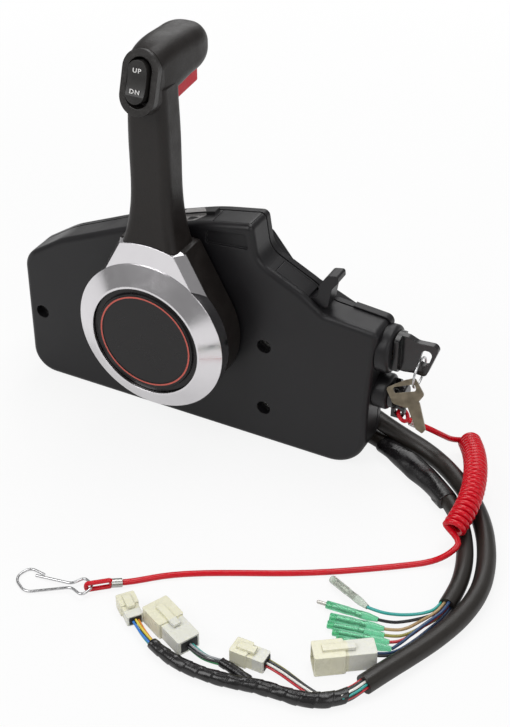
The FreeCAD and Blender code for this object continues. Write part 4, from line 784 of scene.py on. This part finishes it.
def addTerminal(number, tip, tail):
    # The cover is stretched to reach the wire, the metal parts keep their length
    ahead = Vector(tail) - Vector(tip)
    share = ahead.length / bulletSpec["cover"][-1][0]
    cover = [(height * share, radius) for height, radius in bulletSpec["cover"]]
    vinyl = materials["greyVinyl" if number == bulletSpec["grey"] else "greenVinyl"]
    metal = materials["tinnedCopper"]
    label = str(number + 1)
    parts = [turnedPiece("bulletCover" + label, cover, tip, ahead, vinyl),
             turnedPiece("bulletContact" + label, bulletSpec["contact"], tip, ahead, metal)]
    if number == bulletSpec["pinned"]:
        parts.append(turnedPiece("bulletPin" + label, bulletSpec["pin"], tip, ahead, metal))
    return parts


terminals = [addTerminal(number, tip, tail) for number, (tip, tail) in enumerate(bulletSpec["ends"])]
print("bullet terminals:", len(terminals))


# Legends on the trim switch, in millimetres and degrees

legends = {
    "face": (0, -61.5, 273.6),
    "tilt": 17.6,
    "proud": 3.66,
    "size": 3.8,
    "stretch": 1.2,
    "spacing": 1.2,
    "swell": 0.08,
    "thickness": 0.03,
    "rows": [("UP", 7.6), ("DN", -5.4)],
}


def addLegend(text, height):
    bpy.ops.object.text_add()
    piece = bpy.context.object
    piece.name = "legend" + text
    piece.data.body = text
    piece.data.align_x = "CENTER"
    piece.data.align_y = "CENTER"
    piece.data.size = legends["size"] * mm
    piece.data.offset = legends["swell"] * mm
    piece.data.space_character = legends["spacing"]
    piece.data.extrude = legends["thickness"] * mm
    bpy.ops.object.convert(target="MESH")
    turn = Matrix.Rotation(math.radians(90 - legends["tilt"]), 4, "X")
    onFace = Matrix.Translation(Vector((0, height, legends["proud"])) * mm)
    wide = Matrix.Diagonal((legends["stretch"], 1, 1, 1))
    settle(piece, Matrix.Translation(Vector(legends["face"]) * mm) @ turn @ onFace @ wide)
    paint(piece, materials["legendInk"])
    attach(piece, "trim_switch")


for text, height in legends["rows"]:
    addLegend(text, height)


# Return spring of the neutral lock, which on the real switch shortens as the trigger is lifted; here it
# rides with the lever at one length

springSpec = {"axis": (0.0, -44.0), "low": 190.0, "high": 218.0, "radius": 3.6, "wire": 0.6, "sides": 10,
              "turns": 6, "perTurn": 20, "lift": 4.0, "margin": 1.04}


def addSpring():
    spec = springSpec
    count = spec["turns"] * spec["perTurn"]
    length = spec["high"] - spec["low"]
    points = []
    for i in range(count + 1):
        angle = 2 * math.pi * i / spec["perTurn"]
        height = spec["low"] + spec["wire"] + (length - 2 * spec["wire"]) * i / count
        points.append(Vector((spec["axis"][0] + spec["radius"] * math.cos(angle),
                              spec["axis"][1] + spec["radius"] * math.sin(angle), height)))
    piece = roundTube("lockSpring", points, spec["wire"], spec["sides"], materials["drawnWire"])
    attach(piece, "lever")
    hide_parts("lock_spring")
    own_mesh(piece)


addSpring()


# Position mark on the plate in the top of the case, in millimetres

positionMark = {
    "patch": {"left": 2.0, "length": 14.0, "point": 5.0, "width": 14.2, "middle": -17.7, "proud": 0.15},
    "glyph": {"left": 9.0, "length": 4.0, "point": 4.0, "width": 4.6, "middle": -21.2, "proud": 0.3},
    "cells": (18, 30),
    "above": 300.0,
}


def addArrowPrint(name, spec, material):
    # A thin printed arrow laid down on the curved plate
    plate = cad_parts["position_plate"]
    inverse = plate.matrix_world.inverted()
    cells = positionMark["cells"]
    bpy.ops.mesh.primitive_grid_add(x_subdivisions=cells[0], y_subdivisions=cells[1], size=1)
    piece = bpy.context.object
    piece.name = name
    down = inverse.to_3x3() @ Vector((0, 0, -1))
    for vertex in piece.data.vertices:
        along = vertex.co.x + 0.5
        across = vertex.co.y
        x = spec["left"] + along * (spec["length"] + spec["point"] * (1 - 2 * abs(across)))
        y = spec["middle"] + spec["width"] * across
        start = inverse @ (Vector((x, y, positionMark["above"])) * mm)
        onPlate = plate.ray_cast(start, down)[1]
        vertex.co = plate.matrix_world @ onPlate + Vector((0, 0, spec["proud"] * mm))
    piece.data.update()
    paint(piece, material)
    fixToCase(piece, "label_plastic")


addArrowPrint("positionPatch", positionMark["patch"], materials["patchInk"])
addArrowPrint("positionArrow", positionMark["glyph"], materials["arrowInk"])
print("legends, spring and position mark done")


# Dark plates behind the connectors: painted shade standing for the recess where the wires go in

recessShadeSpec = {"thickness": 0.8, "widthShare": 0.66, "heightShare": 0.62, "edge": 0.35, "segments": 2,
            "gap": 0.1}


def addRecessShade(name, connector):
    length, width, height = connector["size"]
    bpy.ops.mesh.primitive_cube_add(size=1)
    piece = bpy.context.object
    piece.name = "recessShade_" + name.split("_")[1]
    piece.data.transform(Matrix.Diagonal((recessShadeSpec["thickness"] * mm, recessShadeSpec["widthShare"] * width * mm,
                                          recessShadeSpec["heightShare"] * height * mm, 1)))
    edge = piece.modifiers.new("edge", "BEVEL")
    edge.width = recessShadeSpec["edge"] * mm
    edge.segments = recessShadeSpec["segments"]
    bpy.ops.object.modifier_apply(modifier="edge")
    middle = Matrix.Translation(Vector(connector["place"]) * mm)
    turned = Matrix.Rotation(math.radians(connector["turn"]), 4, "Z")
    out = Matrix.Translation(((length / 2 + recessShadeSpec["gap"]) * mm, 0, 0))
    settle(piece, middle @ turned @ out)
    # A black plate on the rear face: painted shade for the connector's dark recess
    paint(piece, materials["neopreneBlack"])
    fixToCase(piece, "grommet_rubber")


for name, connector in connectors.items():
    addRecessShade(name, connector)
print("wire seals done")


# Riding and replacing the cords

def wireCords(wires, node):
    # Each wire of a bundle rides with the case as a piece of its own, and the bundle's node is hidden
    for wire in wires:
        fixToCase(wire["piece"], "wire_cover", node)


def declareHarness():
    ends = [wire["piece"] for wire in harness["ends"]]
    small = [wire["piece"] for wire in harness["small"]]
    wide = [wire["piece"] for wire in harness["wide"]]
    film = harness["film"]["piece"]
    branch = harness["branch"]["piece"]
    tail = harness["tail"]
    fixToCase(harness["thick"], "harness_sleeve", "thick_sleeve")
    fixToCase(harness["thin"], "harness_sleeve", "thin_sleeve")
    fixToCase(film, "harness_tape")
    fixToCase(tail["piece"], "harness_tape", "taped_tail")
    fixToCase(branch, "harness_tape", "taped_tail")
    for piece in ends:
        fixToCase(piece, "wire_cover")
    for piece in small:
        fixToCase(piece, "wire_cover", "small_wires")
    for piece in wide:
        fixToCase(piece, "wire_cover", "wide_wires")
    wireCords(harness["mid"], "mid_wires")
    wireCords(harness["large"], "large_wires")
    for i, wire in enumerate(harness["bullet"]):
        fixToCase(wire, "wire_cover", "bullet_wires")


def declareLanyard():
    fixToCase(lanyardCord, "lanyard_red", "lanyard_coil", "lanyard_long")
    fixToCase(hookLoop, "lanyard_red")
    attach(eyeLoop, "clip")
    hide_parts("lanyard_lead")
    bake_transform(lead)


declareHarness()
declareLanyard()


# Floor, backdrop and light, in metres

stage = {
    "size": 8.0,
    "drop": 0.0002,
    "color": "#e6e6e6",
    "rough": 0.9,
    "specular": 0.1,
    "showing": 0.86,  # how much of the floor near the object is even white
    "glossy": 0.4,  # how much of that white polished pieces reflect
    "near": 0.35,  # from here out to far the floor turns wholly white
    "far": 0.8,
}
# Grey levels of the surroundings by height, from the horizon and below it to straight above
studio = {"strength": 0.6, "below": 0.45, "band": [(0.3, 0.5), (0.5, 0.7), (0.62, 0.72), (0.78, 0.5)],
          "above": 0.3}
lampAim = (0.06, -0.03, 0.09)
lamps = {
    "key": {"place": (-0.55, -0.95, 1.15), "size": 0.9, "power": 10.0},
    "fill": {"place": (1.1, -0.7, 0.8), "size": 0.9, "power": 4.5},
    "top": {"place": (0.1, 0.35, 1.3), "size": 0.8, "power": 8.0},
    "back": {"place": (-0.35, 1.1, 0.85), "size": 0.8, "power": 3.5},
}


def seenRays(tree):
    # Light path, and one where the camera looks straight or through clear plastic
    path = addNode(tree, "ShaderNodeLightPath")
    seen = addNode(tree, "ShaderNodeMath", {"operation": "MAXIMUM"},
                   {0: path.outputs["Is Camera Ray"], 1: path.outputs["Is Transmission Ray"]})
    return path, seen


def stageWhite(name):
    # Pale floor: the lit surface keeps the shadow, and the rest is an even white for the camera
    material, tree, shader, place = newMaterial(name)
    shader.inputs["Base Color"].default_value = srgb(stage["color"])
    shader.inputs["Roughness"].default_value = stage["rough"]
    shader.inputs["Specular IOR Level"].default_value = stage["specular"]
    glow = addNode(tree, "ShaderNodeEmission", {"Color": (1, 1, 1, 1), "Strength": 1.0})
    path, seen = seenRays(tree)
    # Polished pieces see part of the even white, so that their shaded sides stay light
    polished = addNode(tree, "ShaderNodeMath", {"operation": "MULTIPLY", 1: stage["glossy"]},
                       {0: path.outputs["Is Glossy Ray"]})
    # Away from the object no shadow falls, so the even white takes over
    away = addNode(tree, "ShaderNodeVectorMath", {"operation": "LENGTH"}, {0: place})
    even = addNode(tree, "ShaderNodeMapRange",
                   {"From Min": stage["near"], "From Max": stage["far"], "To Min": stage["showing"],
                    "To Max": 1.0}, {"Value": away.outputs["Value"]})
    direct = addNode(tree, "ShaderNodeMath", {"operation": "MULTIPLY"},
                     {0: seen.outputs[0], 1: even.outputs["Result"]})
    share = addNode(tree, "ShaderNodeMath", {"operation": "MAXIMUM"},
                    {0: direct.outputs[0], 1: polished.outputs[0]})
    mix = addNode(tree, "ShaderNodeMixShader", {},
                  {0: share.outputs[0], 1: shader.outputs[0], 2: glow.outputs[0]})
    tree.links.new(mix.outputs[0], tree.nodes["Material Output"].inputs["Surface"])
    return material


def addStage():
    bpy.ops.mesh.primitive_plane_add(size=stage["size"], location=(0, 0, -stage["drop"]))
    floor = bpy.context.object
    floor.name = "floor"
    settle(floor)
    paint(floor, stageWhite("floorWhite"))


def grey(level):
    return (level, level, level, 1)


def addWorld():
    # Even studio light; mirror-like surfaces see a band that darkens towards the horizon
    world = bpy.data.worlds.new("studio")
    bpy.context.scene.world = world
    world.use_nodes = True
    tree = world.node_tree
    background = tree.nodes["Background"]
    coords = addNode(tree, "ShaderNodeTexCoord")
    split = addNode(tree, "ShaderNodeSeparateXYZ", {}, {"Vector": coords.outputs["Generated"]})
    band = addNode(tree, "ShaderNodeValToRGB", {}, {"Fac": split.outputs["Z"]})
    steps = band.color_ramp.elements
    steps[0].color = grey(studio["below"])
    steps[1].color = grey(studio["above"])
    for position, level in studio["band"]:
        steps.new(position).color = grey(level)
    tree.links.new(band.outputs["Color"], background.inputs["Color"])
    background.inputs["Strength"].default_value = studio["strength"]
    white = addNode(tree, "ShaderNodeBackground", {"Color": (1, 1, 1, 1), "Strength": 1.0})
    seen = seenRays(tree)[1]
    mix = addNode(tree, "ShaderNodeMixShader", {},
                  {0: seen.outputs[0], 1: background.outputs[0], 2: white.outputs[0]})
    tree.links.new(mix.outputs[0], tree.nodes["World Output"].inputs["Surface"])


def addLamp(name, lamp):
    data = bpy.data.lights.new(name, "AREA")
    data.shape = "SQUARE"
    data.size = lamp["size"]
    data.energy = lamp["power"]
    aimAt(addObject(name, data), lamp["place"], lampAim)


addStage()
addWorld()
for name, lamp in lamps.items():
    addLamp(name, lamp)
print("stage and light done")
